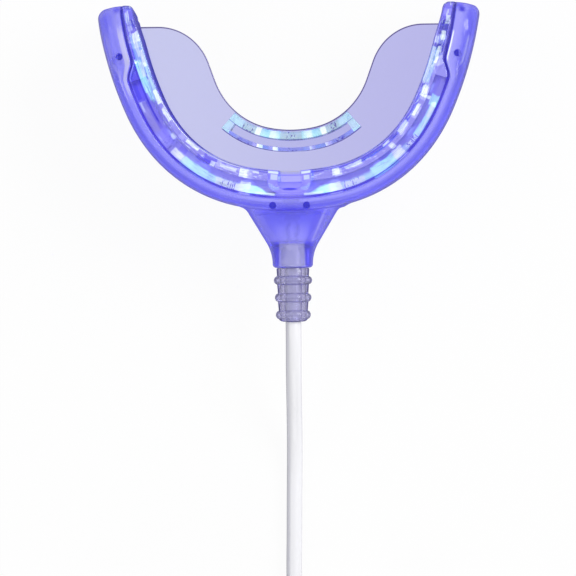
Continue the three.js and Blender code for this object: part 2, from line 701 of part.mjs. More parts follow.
// Stands a piece on the board at a distance along the arch, its +Z towards the teeth
function mountOnBoard(mesh, distance, z, lift) {
  const inset = rimInset(distance) + lift;
  const turn = new THREE.Group();
  turn.position.copy(wallPoint(distance, inset, z));
  turn.rotation.z = wallHeading(distance);
  mesh.rotation.x = -Math.PI / 2;
  turn.add(mesh);
  return turn;
}

// The connector block and the wires

const CONNECTOR_FRONT = RIM_FRONT + BOARD_INSET - GAP;
const CONNECTOR_BACK = CONNECTOR_FRONT - CONNECTOR.length;

function wireConnector() {
  const { width, rise, length, latchWidth, latchRise } = CONNECTOR;
  const middle = (CONNECTOR_FRONT + CONNECTOR_BACK) / 2;
  const latch = block(latchWidth, length / 2, rise + latchRise, 0, middle, latchRise / 2);
  return join(block(width, length, rise, 0, middle, 0), latch);
}

const circle = (radius) => new THREE.Shape().absarc(0, 0, radius, 0, 2 * Math.PI, false);
const tubeAlong = (curve, radius, sides, steps) => new THREE.ExtrudeGeometry(circle(radius), {
  curveSegments: sides / 4, steps, extrudePath: curve,
});

const SHEATH_END = HEAD_BACK + SHEATH_PAST_HEAD;

function leadWire(side) {
  const from = SHEATH_END + GAP;
  const to = CONNECTOR_BACK - GAP;
  const atSheath = (side * (CABLE_RADIUS - LEAD_RADIUS)) / 2;
  const atPlug = (side * LEAD_SPACING) / 2;
  const curve = new THREE.CatmullRomCurve3([
    new THREE.Vector3(atSheath, from, 0),
    new THREE.Vector3(atSheath + side * LEAD_BOW, from + (to - from) / 3, 0),
    new THREE.Vector3(atPlug + side * LEAD_BOW, to - (to - from) / 3, 0),
    new THREE.Vector3(atPlug, to, 0),
  ]);
  return tubeAlong(curve, LEAD_RADIUS, 8, 8);
}

// The strain relief

const SHOULDER = STEM_END - GAP;
const BOOT_LENGTH = FIRST_RING + (RING_COUNT - 1) * RING_PITCH + END_LAND;
const BOOT_END = SHOULDER - BOOT_LENGTH;
const BORE_RADIUS = CABLE_RADIUS + BOOT_BORE_GAP;

function bootRadius(fromShoulder) {
  return BOOT_START_RADIUS + (BOOT_END_RADIUS - BOOT_START_RADIUS) * (fromShoulder / BOOT_LENGTH);
}

function strainRelief() {
  const headFront = POCKET_START + GAP;
  const profile = [
    [BORE_RADIUS, HEAD_BACK], [HEAD_RADIUS, HEAD_BACK], [HEAD_RADIUS, headFront], [NECK_RADIUS, headFront],
    [NECK_RADIUS, SHOULDER], [bootRadius(0), SHOULDER],
  ];
  const ringSteps = 6;
  for (let ring = 0; ring < RING_COUNT; ring += 1) {
    const middle = FIRST_RING + ring * RING_PITCH;
    for (let i = 0; i <= ringSteps; i += 1) {
      const angle = (i / ringSteps) * Math.PI;
      const place = middle - (RING_WIDTH / 2) * Math.cos(angle);
      const radius = bootRadius(middle) * (1 + RING_RISE_SHARE * Math.sin(angle));
      profile.push([radius, SHOULDER - place]);
    }
  }
  profile.push([BOOT_END_RADIUS, BOOT_END], [BORE_RADIUS, BOOT_END], [BORE_RADIUS, HEAD_BACK]);
  profile.reverse();
  return new THREE.LatheGeometry(profile.map(([radius, y]) => new THREE.Vector2(radius, y)), BOOT_SIDES);
}

function innerCable() {
  const length = SHEATH_END - BOOT_END;
  return new THREE.CylinderGeometry(CABLE_RADIUS, CABLE_RADIUS, length, 16).translate(0, BOOT_END + length / 2, 0);
}

// The cable outside

const fromBoot = ([x, y, z]) => new THREE.Vector3(x, BOOT_END + y, z);

const routeCurve = (route) => new THREE.CatmullRomCurve3(route.map(fromBoot), false, 'centripetal');

function routeTube(route) {
  const curve = routeCurve(route);
  return tubeAlong(curve, CABLE_RADIUS, CABLE_SIDES, Math.ceil(curve.getLength() / CABLE_FACET));
}

// The coil's middle line: clockwise from above, drawn in and let out at a steady rate, and climbing a
// layer in the half turn round each place where it turns back
function coilLine() {
  const [startX, startY, startZ] = COIL_START;
  const loopsPerLayer = COIL_LOOPS / COIL_LAYERS;
  const centre = [startX - COIL_OUTER_RADIUS, startY];
  const point = (turns) => {
    const phase = (turns / loopsPerLayer) % 2;
    const drawnIn = (phase < 1 ? phase : 2 - phase) * loopsPerLayer * COIL_PITCH;
    let climbed = 0;
    for (let layer = 1; layer < COIL_LAYERS; layer += 1) {
      const past = turns - layer * loopsPerLayer;
      climbed += THREE.MathUtils.smoothstep(past, -0.25, 0.25);
    }
    const radius = COIL_OUTER_RADIUS - drawnIn;
    const angle = -2 * Math.PI * turns;
    return fromBoot([
      centre[0] + radius * Math.cos(angle), centre[1] + radius * Math.sin(angle), startZ + climbed * COIL_PITCH,
    ]);
  };
  const points = [];
  for (let i = 0; i <= COIL_LOOPS * COIL_STEPS; i += 1) points.push(point(i / COIL_STEPS));
  const stretch = new THREE.Vector3(0, COIL_END_STRAIGHT, 0);
  return [points[0].clone().add(stretch), ...points, points.at(-1).clone().sub(stretch)];
}

// The least distance between the coil's own surfaces, away from neighbouring steps
function leastSelfGap(points) {
  const apart = COIL_STEPS / 4;
  let least = Infinity;
  for (let i = 0; i < points.length; i += 1) {
    for (let j = i + apart; j < points.length; j += 1) least = Math.min(least, points[i].distanceTo(points[j]));
  }
  return least - 2 * CABLE_RADIUS;
}

// A tube of few sides through many points, built ring by ring
function tubeThrough(points, radius, sides) {
  const rings = points.map((point, i) => {
    const along = points[Math.min(i + 1, points.length - 1)].clone().sub(points[Math.max(i - 1, 0)]).normalize();
    const across = new THREE.Vector3().crossVectors(along, UPWARDS).normalize();
    const up = new THREE.Vector3().crossVectors(across, along);
    return Array.from({ length: sides }, (_, k) => {
      const angle = (2 * Math.PI * k) / sides;
      return point.clone()
        .addScaledVector(across, radius * Math.cos(angle))
        .addScaledVector(up, radius * Math.sin(angle));
    });
  });
  const flat = Array.from({ length: sides }, (_, k) => {
    const angle = (2 * Math.PI * k) / sides;
    return new THREE.Vector2(Math.cos(angle), Math.sin(angle));
  });
  return loft(rings, flat, flat);
}

function cableCoil() {
  const line = coilLine();
  const ends = [CABLE_ROUTE, TAIL_ROUTE].map((route) => routeCurve(route).getLength());
  const wound = line.slice(1).reduce((sum, point, i) => sum + point.distanceTo(line[i]), 0);
  console.log(`coil: least gap to itself ${leastSelfGap(line).toFixed(2)} mm`);
  console.log(`cable: ${(ends[0] + wound + ends[1]).toFixed(0)} mm, of which wound ${wound.toFixed(0)} mm`);
  return tubeThrough(line, CABLE_RADIUS, COIL_SIDES);
}

function roundedRectangle(width, height, corner) {
  const [x, y] = [width / 2, height / 2];
  return new THREE.Shape()
    .moveTo(-x + corner, -y)
    .lineTo(x - corner, -y)
    .absarc(x - corner, corner - y, corner, -Math.PI / 2, 0, false)
    .lineTo(x, y - corner)
    .absarc(x - corner, y - corner, corner, 0, Math.PI / 2, false)
    .lineTo(corner - x, y)
    .absarc(corner - x, y - corner, corner, Math.PI / 2, Math.PI, false)
    .lineTo(-x, corner - y)
    .absarc(corner - x, corner - y, corner, Math.PI, 1.5 * Math.PI, false);
}

// A strap round the coil's turns, on the side away from where the cable comes in
function coilTie() {
  const loopsPerLayer = COIL_LOOPS / COIL_LAYERS;
  const pileWidth = (loopsPerLayer - 1) * COIL_PITCH + 2 * (CABLE_RADIUS + TIE_GAP);
  const pileHeight = (COIL_LAYERS - 1) * COIL_PITCH + 2 * (CABLE_RADIUS + TIE_GAP);
  const strap = roundedRectangle(pileWidth + 2 * TIE_THICKNESS, pileHeight + 2 * TIE_THICKNESS, TIE_CORNER);
  strap.holes.push(roundedRectangle(pileWidth, pileHeight, TIE_CORNER - TIE_THICKNESS));
  const middleRadius = COIL_OUTER_RADIUS - (loopsPerLayer * COIL_PITCH) / 2;
  const [startX, startY, startZ] = COIL_START;
  const place = fromBoot([
    startX - COIL_OUTER_RADIUS - middleRadius, startY, startZ + ((COIL_LAYERS - 1) * COIL_PITCH) / 2,
  ]);
  return new THREE.ExtrudeGeometry(strap, { depth: TIE_WIDTH, bevelEnabled: false, curveSegments: 3 })
    .translate(0, 0, -TIE_WIDTH / 2)
    .rotateX(Math.PI / 2)
    .translate(place.x, place.y, place.z);
}

// The plug points along +Y from where the tail ends. Its pieces are built round that point.

const plugPlace = fromBoot(TAIL_ROUTE.at(-1)).add(new THREE.Vector3(0, GAP, 0));
const COVER_START = PLUG_BOOT.length;
const COVER_END = COVER_START + PLUG_COVER.length;

// A slab that stands on the XZ plane and runs along +Y
const alongY = (shape, from, length, options = {}) => new THREE.ExtrudeGeometry(
  shape, { depth: length, bevelEnabled: false, curveSegments: 4, ...options },
)
  .rotateX(-Math.PI / 2)
  .scale(1, 1, -1)
  .translate(0, from, 0);

function plugCover() {
  const { width, height, length, corner, bevel } = PLUG_COVER;
  const cover = alongY(
    roundedRectangle(width, height, corner), COVER_START + bevel, length - 2 * bevel,
    { bevelEnabled: true, bevelSize: bevel, bevelThickness: bevel, bevelOffset: -bevel, bevelSegments: 3 },
  );
  const { startRadius, endRadius } = PLUG_BOOT;
  const bootEnd = COVER_START + bevel;
  const boot = new THREE.CylinderGeometry(endRadius, startRadius, bootEnd, 20).translate(0, bootEnd / 2, 0);
  return join(cover, boot);
}

function plugShell() {
  const { width, height, length, wall, corner } = PLUG_SHELL;
  const outline = roundedRectangle(width, height, corner);
  outline.holes.push(roundedRectangle(width - 2 * wall, height - 2 * wall, corner - wall / 2));
  const windowY = COVER_END + length - PLUG_WINDOW.fromEnd - PLUG_WINDOW.length / 2;
  const windows = [-1, 1].map((side) => block(
    PLUG_WINDOW.width, PLUG_WINDOW.length, height + 2 * OVERRUN, (side * PLUG_WINDOW.spacing) / 2, windowY, 0,
  ));
  return cut(alongY(outline, COVER_END, length), ...windows);
}

// The tongue lies in the lower half of the shell, and the contacts on top of it
const TONGUE_BOTTOM = -PLUG_SHELL.height / 2 + PLUG_SHELL.wall + PLUG_TONGUE.gap;
const TONGUE_TOP = TONGUE_BOTTOM + PLUG_TONGUE.height;

function plugTongue() {
  const width = PLUG_SHELL.width - 2 * (PLUG_SHELL.wall + PLUG_TONGUE.gap);
  const length = PLUG_SHELL.length - PLUG_TONGUE.short;
  return block(width, length, PLUG_TONGUE.height, 0, COVER_END + length / 2, (TONGUE_TOP + TONGUE_BOTTOM) / 2);
}

function plugContact(number) {
  const x = (number - (CONTACT.count - 1) / 2) * CONTACT.pitch;
  const end = COVER_END + PLUG_SHELL.length - PLUG_TONGUE.short - CONTACT.setBack;
  return block(
    CONTACT.width, CONTACT.length, CONTACT.thickness,
    x, end - CONTACT.length / 2, TONGUE_TOP + CONTACT.thickness / 2,
  );
}

// The assembly

function piece(name, geometry, material) {
  const mesh = new THREE.Mesh(geometry, material);
  mesh.name = name;
  return mesh;
}

const tray = new THREE.Group();
tray.add(
  piece('upper_shell', upperShell(), materials.shell),
  piece('lower_shell', lowerShell(), materials.shell),
  piece('light_guide', lightGuide(), materials.guide),
  piece('mouth_tray', mouthTray(), materials.tray),
  piece('led_board', ledBoard(), materials.board),
  piece('wire_connector', wireConnector(), materials.connector),
  piece('lead_wire_positive', leadWire(1), materials.positive),
  piece('lead_wire_negative', leadWire(-1), materials.negative),
  piece('strain_relief', strainRelief(), materials.boot),
  piece('inner_cable', innerCable(), materials.cable),
);

const led = ledPackage();
const ledPlaces = LED_PLACE_SHARES.flatMap((share) => [-share, share]).sort((a, b) => a - b);
let ledNumber = 0;
for (const z of [LED_ROW_HEIGHT, -LED_ROW_HEIGHT]) {
  for (const share of ledPlaces) {
    ledNumber += 1;
    const mesh = piece(`led_${String(ledNumber).padStart(2, '0')}`, led.clone(), materials.led);
    tray.add(mountOnBoard(mesh, share * BOARD_REACH, z, LED_INSET));
  }
}

const { width: resistorWidth, rise: resistorRise, depth: resistorDepth } = RESISTOR_SIZE;
const resistorPlaces = RESISTOR_PLACE_SHARES.flatMap((share) => [-share, share]).sort((a, b) => a - b);
for (const [i, share] of resistorPlaces.entries()) {
  const chip = block(resistorWidth, resistorRise, resistorDepth, 0, 0, resistorDepth / 2);
  tray.add(mountOnBoard(piece(`resistor_${i + 1}`, chip, materials.resistor), share * BOARD_REACH, 0, LED_INSET));
}

const lead = new THREE.Group();
lead.add(
  piece('cable', routeTube(CABLE_ROUTE), materials.cable),
  piece('cable_coil', cableCoil(), materials.cable),
  piece('coil_tie', coilTie(), materials.tie),
  piece('cable_tail', routeTube(TAIL_ROUTE), materials.cable),
);

const plug = new THREE.Group();
plug.position.copy(plugPlace);
plug.add(
  piece('plug_cover', plugCover(), materials.cable),
  piece('plug_shell', plugShell(), materials.steel),
  piece('plug_tongue', plugTongue(), materials.cable),
);
for (let i = 0; i < CONTACT.count; i += 1) {
  plug.add(piece(`plug_contact_${i + 1}`, plugContact(i), materials.gold));
}
lead.add(plug);

// The origin goes to the middle of the tray's base
const bounds = new THREE.Box3().setFromObject(tray);
const object = new THREE.Group();
object.add(tray, lead);
object.position.set(
  -(bounds.min.x + bounds.max.x) / 2,
  -(bounds.min.y + bounds.max.y) / 2,
  -bounds.min.z,
);

export default object;
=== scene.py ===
# %% [markdown]
# # A mouth tray with a light strip, seen from above
#
# The real object is a curved, clear violet wall that stands between lips and teeth. A strip of small
# lights shines through its clear inner side, a soft plate across it is bitten on, and a lead leaves by
# a stem in front. The packed solids are the fixed frame. Clear plastic shows every facet and every
# sharp edge, so the pieces that show are made again here from the same sizes, only finer and with
# rounded edges. Pieces could also be smoothed with a subdivision modifier, but that would draw the
# walls thinner than the solids are.

# %% Load the packed frame
import functools
import math
import operator

import bmesh
import bpy
import numpy as np
from mathutils import Matrix, Vector


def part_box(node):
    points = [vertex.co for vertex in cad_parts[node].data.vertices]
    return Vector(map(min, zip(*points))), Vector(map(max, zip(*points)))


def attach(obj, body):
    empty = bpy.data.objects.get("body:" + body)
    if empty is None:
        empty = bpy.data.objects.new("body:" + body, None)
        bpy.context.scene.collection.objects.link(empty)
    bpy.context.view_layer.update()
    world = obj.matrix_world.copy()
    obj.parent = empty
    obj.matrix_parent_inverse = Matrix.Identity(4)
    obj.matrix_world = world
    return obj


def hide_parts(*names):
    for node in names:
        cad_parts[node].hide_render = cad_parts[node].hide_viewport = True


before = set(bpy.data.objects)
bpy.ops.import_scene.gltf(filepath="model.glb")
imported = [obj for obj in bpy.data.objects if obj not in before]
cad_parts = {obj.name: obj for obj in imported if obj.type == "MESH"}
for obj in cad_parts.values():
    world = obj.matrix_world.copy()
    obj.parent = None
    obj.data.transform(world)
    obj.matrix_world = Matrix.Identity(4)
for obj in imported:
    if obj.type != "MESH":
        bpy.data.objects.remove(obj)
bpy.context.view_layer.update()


MM = 0.001

# %% [markdown]
# ## Camera
#
# The photograph looks almost straight down from a long way off, so both arms keep their width and the
# cable hardly narrows. The stem and the plate lie lower than the rim and show a little to the right of
# its middle, which says that the camera leans that way. A long lens a good way up gives the same view.

# %% Camera
VIEW_WIDTH = 108.58 * MM  # what the frame is wide at the rim's height
VIEW_CENTRE = Vector((-0.45, -23.6, 26.0)) * MM
VIEW_DISTANCE = 900 * MM
LEAN = math.radians(2.3)  # towards +X
ROLL = math.radians(-0.6)
SENSOR = 36.0

camera_data = bpy.data.cameras.new("camera")
camera_data.sensor_width = SENSOR
camera_data.lens = SENSOR * VIEW_DISTANCE / VIEW_WIDTH
camera_data.clip_start, camera_data.clip_end = 0.01, 10.0
camera = bpy.data.objects.new("camera", camera_data)
bpy.context.scene.collection.objects.link(camera)
back = Vector((math.sin(LEAN), 0.0, math.cos(LEAN)))
upward = Vector((-math.sin(ROLL), math.cos(ROLL), 0.0))
right = upward.cross(back).normalized()
camera.matrix_world = Matrix((right, back.cross(right), back)).transposed().to_4x4()
camera.location = VIEW_CENTRE + back * VIEW_DISTANCE
bpy.context.scene.camera = camera
print("lens", round(camera_data.lens, 1))

# %% [markdown]
# ## Sums made of nodes
#
# Every material below works with masks: numbers from 0 to 1 that say how strongly something shows at a
# point. Each step of such a sum is a node, and wiring nodes one by one takes many lines. The class
# `Mask` holds a node's output and adds the next node for each sign, so `a * b` is what two masks share,
# `a | b` the stronger of the two and `~a` the opposite.

# %% Masks
def feed(target, value):
    """Links an output into a socket, or writes a plain number or colour there."""
    value = getattr(value, "output", value)
    if isinstance(value, bpy.types.NodeSocket):
        target.id_data.links.new(value, target)
    elif target.type == "RGBA":
        target.default_value = (*value, 1)
    else:
        target.default_value = value


def add(tree, kind, *given, **settings):
    """A new node with its settings, whose first inputs are fed in order."""
    node = tree.nodes.new(kind)
    for key, value in settings.items():
        setattr(node, key, value)
    for target, value in zip(node.inputs, given):
        feed(target, value)
    return node


class Mask:
    def __init__(self, output):
        self.output = output
        self.tree = output.id_data

    def calc(self, operation, *others, clamp=False):
        node = add(self.tree, "ShaderNodeMath", self, *others, operation=operation, use_clamp=clamp)
        return Mask(node.outputs[0])

    def __mul__(self, other):
        return self.calc("MULTIPLY", other)

    def __add__(self, other):
        return self.calc("ADD", other)

    def __sub__(self, other):
        return self.calc("SUBTRACT", other)

    def __or__(self, other):
        return self.calc("MAXIMUM", other)

    def __abs__(self):
        return self.calc("ABSOLUTE")

    def __invert__(self):
        """What is missing from 1."""
        return self.scaled(-1.0, 1.0)

    def scaled(self, factor, more):
        return self.calc("MULTIPLY_ADD", factor, more)

    def fade(self, start, end):
        """0 up to the start and 1 from the end on."""
        node = add(self.tree, "ShaderNodeMapRange", self, start, end, interpolation_type="SMOOTHSTEP")
        return Mask(node.outputs[0])

    def near(self, centre, half, soft):
        """1 within half of the centre, with soft ends."""
        return abs(self - centre).fade(half + soft, half)


print("a mask can be:", [name for name in vars(Mask) if not name.startswith("_")])


# %% [markdown]
# ## Floor, world and lamps
#
# The background of the photograph is pure white, and hardly a shadow lies on it. A white floor lit by
# lamps would need far too much light to get there. Its material is white light for the camera and for
# rays that come through plastic or off metal, mixed with a little real floor that takes the soft
# shadow. The object itself is lit at a plain level by a white world and three large soft lamps.

# %% Floor
FLOOR_SHADOW = 0.06  # how much of the real floor is mixed in
FLOOR_GREY = 0.9
FLOOR_REACH, FLOOR_SINK = 4.0, 0.02 * MM


def new_material(name):
    material = bpy.data.materials.new(name)
    material.use_nodes = True
    material.node_tree.nodes.clear()
    return material, material.node_tree


def seen_ray(tree):
    """1 for rays from the camera, off a glossy surface or through a clear one."""
    path = add(tree, "ShaderNodeLightPath").outputs
    direct, glossy, through = (Mask(path[f"Is {kind} Ray"]) for kind in ("Camera", "Glossy", "Transmission"))
    return (direct + glossy).calc("ADD", through, clamp=True)


floor_material, tree = new_material("white_floor")
matte = add(tree, "ShaderNodeBsdfDiffuse", [FLOOR_GREY] * 3)
shining = add(tree, "ShaderNodeEmission")
white_share = seen_ray(tree) * (1 - FLOOR_SHADOW)
blend = add(tree, "ShaderNodeMixShader", white_share, matte.outputs[0], shining.outputs[0])
add(tree, "ShaderNodeOutputMaterial", blend.outputs[0])

mesh = bpy.data.meshes.new("floor")
corners = [(x * FLOOR_REACH, y * FLOOR_REACH, 0) for x, y in ((-1, -1), (1, -1), (1, 1), (-1, 1))]
mesh.from_pydata(corners, [], [(0, 1, 2, 3)])
mesh.materials.append(floor_material)
floor = bpy.data.objects.new("floor", mesh)
floor.location.z = -FLOOR_SINK
bpy.context.scene.collection.objects.link(floor)
print("floor:", 2 * FLOOR_REACH, "m across")

# %% World and lamps
WORLD_LEVEL = 0.56
LAMPS = {  # place and size in metres, and power in watts
    "key_lamp": ((0.5, 0.25, 0.55), (0.5, 0.35), 3.6),
    "fill_lamp": ((-0.5, 0.1, 0.5), (0.5, 0.5), 1.0),
    "front_lamp": ((0.0, -0.7, 0.35), (0.6, 0.3), 1.0),
}
LAMP_AIM = Vector((0, 0, 13)) * MM

world = bpy.data.worlds.new("white_studio")
bpy.context.scene.world = world
world.use_nodes = True
tree = world.node_tree
tree.nodes.clear()
sky = add(tree, "ShaderNodeBackground")
feed(sky.inputs["Strength"], seen_ray(tree).scaled(1.0 - WORLD_LEVEL, WORLD_LEVEL))
add(tree, "ShaderNodeOutputWorld", sky.outputs[0])

for name, (place, size, power) in LAMPS.items():
    lamp_data = bpy.data.lights.new(name, "AREA")
    lamp_data.shape = "RECTANGLE"
    lamp_data.size, lamp_data.size_y = size
    lamp_data.energy = power
    lamp = bpy.data.objects.new(name, lamp_data)
    lamp.location = place
    lamp.rotation_mode = "QUATERNION"
    lamp.rotation_quaternion = (LAMP_AIM - lamp.location).to_track_quat("-Z", "Y")
    bpy.context.scene.collection.objects.link(lamp)
print("lamps:", ", ".join(LAMPS))

# %% [markdown]
# ## The wall as a path
#
# Everything in the wall follows one curve, its outer edge in plan: four arcs a side that run on from
# one another. A place is given by its distance along that edge, its inset towards the teeth and its
# height above the middle. With this one function a whole piece is an outline carried along the curve.

# %% The arch's outer edge
ARCH_RUNS = [(50.0, 9.2), (29.0, 22.2), (34.0, 7.0), (71.0, 20.4)]  # radius and length
PACKED_ARCH = sum(length for _, length in ARCH_RUNS)
ARCH = PACKED_ARCH + 0.6  # drawn a little longer than packed, as far as the photograph's tips reach
HALF_HEIGHT = 13.0
RIM_FRONT, RIM_SIDE, RIM_ARM = 2.35, 2.75, 4.6
RIM_STEP, RIM_STEP_LENGTH = PACKED_ARCH - 14.8, 4.0
GAP = 0.3
OVERCUT = 1.0  # how far a cutter reaches past what it cuts, and a pin's foot into its shell
WALL = 7.6
CHAMBER_INSET = 5.55
TIP_OUTER, TIP_INNER = 0.46 * RIM_ARM, 0.62 * (WALL - RIM_ARM - GAP)
TIP_LENGTH, TIP_DROP, LEAST_STEP = 6.0, 5.0, 0.1
TIP_TAPER, TAPER_LENGTH = 0.5, 9.0  # how much thinner the wall gets towards its tips


def follow(runs, distance, x=0.0, y=0.0, heading=0.0):
    """Where a curve of arcs and straights has got to, and its heading."""
    for number, (radius, length) in enumerate(runs):
        run = distance if number == len(runs) - 1 else min(distance, length)
        if math.isinf(radius):
            x, y = x + run * math.cos(heading), y + run * math.sin(heading)
        else:
            turned = heading + run / radius
            x += radius * (math.sin(turned) - math.sin(heading))
            y += radius * (math.cos(heading) - math.cos(turned))
            heading = turned
        distance -= run
        if distance <= 0:
            break
    return x, y, heading


BACKWARDS = RIM_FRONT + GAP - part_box("light_guide")[0].y / MM  # the frame's origin on the arch's axis


def at(x, y, z):
    """A point in the scene from millimetres on the arch's own axes."""
    return Vector((x, y - BACKWARDS, z + HALF_HEIGHT)) * MM


def wall_point(distance, inset, z):
    side = -1 if distance < 0 else 1
    x, y, heading = follow(ARCH_RUNS, abs(distance))
    return at(side * (x - inset * math.sin(heading)), y + inset * math.cos(heading), z)


print("arch:", round(ARCH, 1), "mm a side; origin", round(BACKWARDS, 2), "mm behind its front")

# %% Rounded ends and the rim's thickness
def smoothly(value, start, end):
    t = min(1.0, max(0.0, (value - start) / (end - start)))
    return t * t * (3 - 2 * t)


def round_off(to_end, length, depth):
    if to_end >= length:
        return 0.0
    along = 1 - to_end / length
    return depth * (1 - math.sqrt(max(0.0, 1 - along * along)))


def limits(distance):
    """The wall's outer and inner inset and half height, with its rounded tips."""
    to_tip = ARCH - abs(distance)
    thinner = TIP_TAPER * smoothly(-to_tip, -TAPER_LENGTH, -TIP_INNER)
    return (
        round_off(to_tip, TIP_OUTER, TIP_OUTER),
        WALL - thinner - round_off(to_tip, TIP_INNER, TIP_INNER),
        HALF_HEIGHT - round_off(to_tip, TIP_LENGTH, TIP_DROP),
    )


def rim_inset(distance):
    reach = abs(distance)
    side = smoothly(reach, 0, RIM_STEP)
    arm = smoothly(reach, RIM_STEP, RIM_STEP + RIM_STEP_LENGTH)
    return RIM_FRONT + (RIM_SIDE - RIM_FRONT) * side + (RIM_ARM - RIM_SIDE) * arm


def quarter(count):
    """The angles of a quarter turn in equal steps, with both its ends."""
    return [math.pi / 2 * i / count for i in range(count + 1)]


def circle(count):
    return [2 * math.pi * i / count for i in range(count)]


def both_ways(half):
    return [-d for d in reversed(half[1:])] + half


def stations(reach=ARCH, step=0.9, tip_count=18, end=ARCH):
    """Distances along both halves, closer together where the tips are rounded."""
    straight = end - TIP_LENGTH
    count = math.ceil(min(reach, straight) / step)
    half = [min(reach, straight) * i / count for i in range(count + 1)]
    if reach > straight:
        tip = [end - TIP_LENGTH * (1 - math.sin(a)) for a in quarter(tip_count)[1:]]
        half += [d for d in tip if d < reach - LEAST_STEP] + [reach]
    return both_ways(half)


print("rim:", [round(rim_inset(d), 2) for d in (0, RIM_STEP, ARCH)], "mm in front, at the side, on the arms")

# %% Mesh helpers
SMOOTH_ANGLE = 32.0


def soften(piece, smooth_angle=SMOOTH_ANGLE):
    """Smooth shading that keeps the real edges crisp."""
    piece.data.polygons.foreach_set("use_smooth", [True] * len(piece.data.polygons))
    piece.data.set_sharp_from_angle(angle=math.radians(smooth_angle))


def mesh_object(name, bm, smooth_angle=SMOOTH_ANGLE):
    bmesh.ops.recalc_face_normals(bm, faces=bm.faces)
    mesh = bpy.data.meshes.new(name)
    bm.to_mesh(mesh)
    bm.free()
    made = bpy.data.objects.new(name, mesh)
    bpy.context.scene.collection.objects.link(made)
    soften(made, smooth_angle)
    return made


def add_skin(bm, rings, closed=False):
    """Faces through rings of points, with flat ends."""
    rows = [[bm.verts.new(point) for point in ring] for ring in rings]
    count = len(rows[0])
    for one, other in zip(rows, rows[1:] + rows[:1] if closed else rows[1:]):
        for i in range(count):
            j = (i + 1) % count
            bm.faces.new((one[i], one[j], other[j], other[i]))
    if not closed:
        bm.faces.new(list(reversed(rows[0])))
        bm.faces.new(rows[-1])


def skin(name, rings, closed=False):
    bm = bmesh.new()
    add_skin(bm, rings, closed=closed)
    return mesh_object(name, bm)


def sweep(name, outline_at, reach=ARCH):
    """An outline of insets and heights, carried along the arch."""
    return skin(name, [[wall_point(d, inset, z) for inset, z in outline_at(d)] for d in stations(reach)])


def combine(piece, other, operation):
    """Joins or cuts one closed piece with another, which is used up."""
    modifier = piece.modifiers.new("combine", "BOOLEAN")
    modifier.operation = operation
    modifier.solver = "EXACT"
    modifier.object = other
    view = bpy.context.view_layer
    view.update()
    result = bpy.data.meshes.new_from_object(piece.evaluated_get(view.depsgraph))
    piece.modifiers.clear()
    piece.data = result
    bpy.data.objects.remove(other)
    soften(piece)
    return piece


def mirrored_down(piece, name):
    copy = bpy.data.objects.new(name, piece.data.copy())
    bpy.context.scene.collection.objects.link(copy)
    copy.data.transform(Matrix.Translation((0, 0, 2 * HALF_HEIGHT * MM)) @ Matrix.Diagonal((1, 1, -1, 1)))
    copy.data.flip_normals()
    return copy


def corner(centre, radius, start, end, steps=4):
    """Points of an arc, with angles in degrees."""
    angles = [math.radians(start + (end - start) * i / steps) for i in range(steps + 1)]
    return [(centre[0] + radius * math.cos(a), centre[1] + radius * math.sin(a)) for a in angles]


print("stations along the arch:", len(stations()))

# %% [markdown]
# ## The two shells
#
# The rim is two mouldings in clear violet plastic, which meet at mid height in a fine line. The outer
# face is waisted for the lips and rolls over in a soft nose. The stem grows out of the front as an
# oval funnel. The rim is an outline carried along the arch, the stem a skin through ovals, and the two
# are joined and then hollowed for the strain relief, as the moulds would do it.

# %% Rim of one shell
WAIST, NOSE_HEIGHT, NOSE_SHARE = 0.7, 3.2, 0.66
SEAM = 0.12  # the fine groove where the shells meet
LIP = 0.3  # rounding of the rim's inner edge
HAIR = 0.02  # what keeps the two shells' faces apart, so that light passes from one to the other
WAIST_STEPS, NOSE_STEPS = 9, 12


def shell_outline(distance):
    outer, _, half = limits(distance)
    rim = rim_inset(distance)
    nose = (rim - outer) * NOSE_SHARE
    start = half - NOSE_HEIGHT
    outline = [(outer + WAIST + SEAM, HAIR), (outer + WAIST, SEAM + HAIR)]
    for share in (i / WAIST_STEPS for i in range(1, WAIST_STEPS)):
        outline.append((outer + WAIST * (1 - share ** 2), start * share))
    for angle in quarter(NOSE_STEPS):
        outline.append((outer + nose * (1 - math.cos(angle)), start + NOSE_HEIGHT * math.sin(angle)))
    outline += corner((rim - LIP, half - LIP), LIP, 90, 0)
    outline.append((rim, HAIR))
    return outline


upper_rim = sweep("upper_rim", shell_outline)
print("rim faces:", len(upper_rim.data.polygons))

# %% The stem's side in plan
FLARE_START, FILLET, FLARE_ANGLE, FLARE_BLEND = 10.0, 2.2, math.radians(31), 8.0
NECK, HEAD, HEAD_THICKNESS = 2.2, 3.25, 0.6
COLLAR_LENGTH, COLLAR_WALL = 4.3, 1.35
STEM_RADIUS = NECK + GAP + COLLAR_WALL
STEM_BEVEL, STEM_WALL = 0.7, 2.0
STEM_HEIGHT_SHARE = 1.45  # how much higher the stem grows as it grows wider
STEM_HIGHEST = HALF_HEIGHT - 0.05  # a hair below the rim's own height
root_x, root_y, root_heading = follow(ARCH_RUNS, FLARE_START)
fillet_turn = math.pi / 2 - FLARE_ANGLE - root_heading
flare_run = (
    root_x - STEM_RADIUS
    - FILLET * (math.cos(FLARE_ANGLE) - math.sin(root_heading))
    - FLARE_BLEND * (1 - math.cos(FLARE_ANGLE))
) / math.sin(FLARE_ANGLE)
STEM_SIDE = [(FILLET, FILLET * fillet_turn), (math.inf, flare_run), (FLARE_BLEND, FLARE_BLEND * FLARE_ANGLE)]
SIDE_LENGTH = sum(length for _, length in STEM_SIDE)


def stem_side(distance):
    x, y, _ = follow(STEM_SIDE, distance, root_x, root_y, math.pi + root_heading)
    return x, y


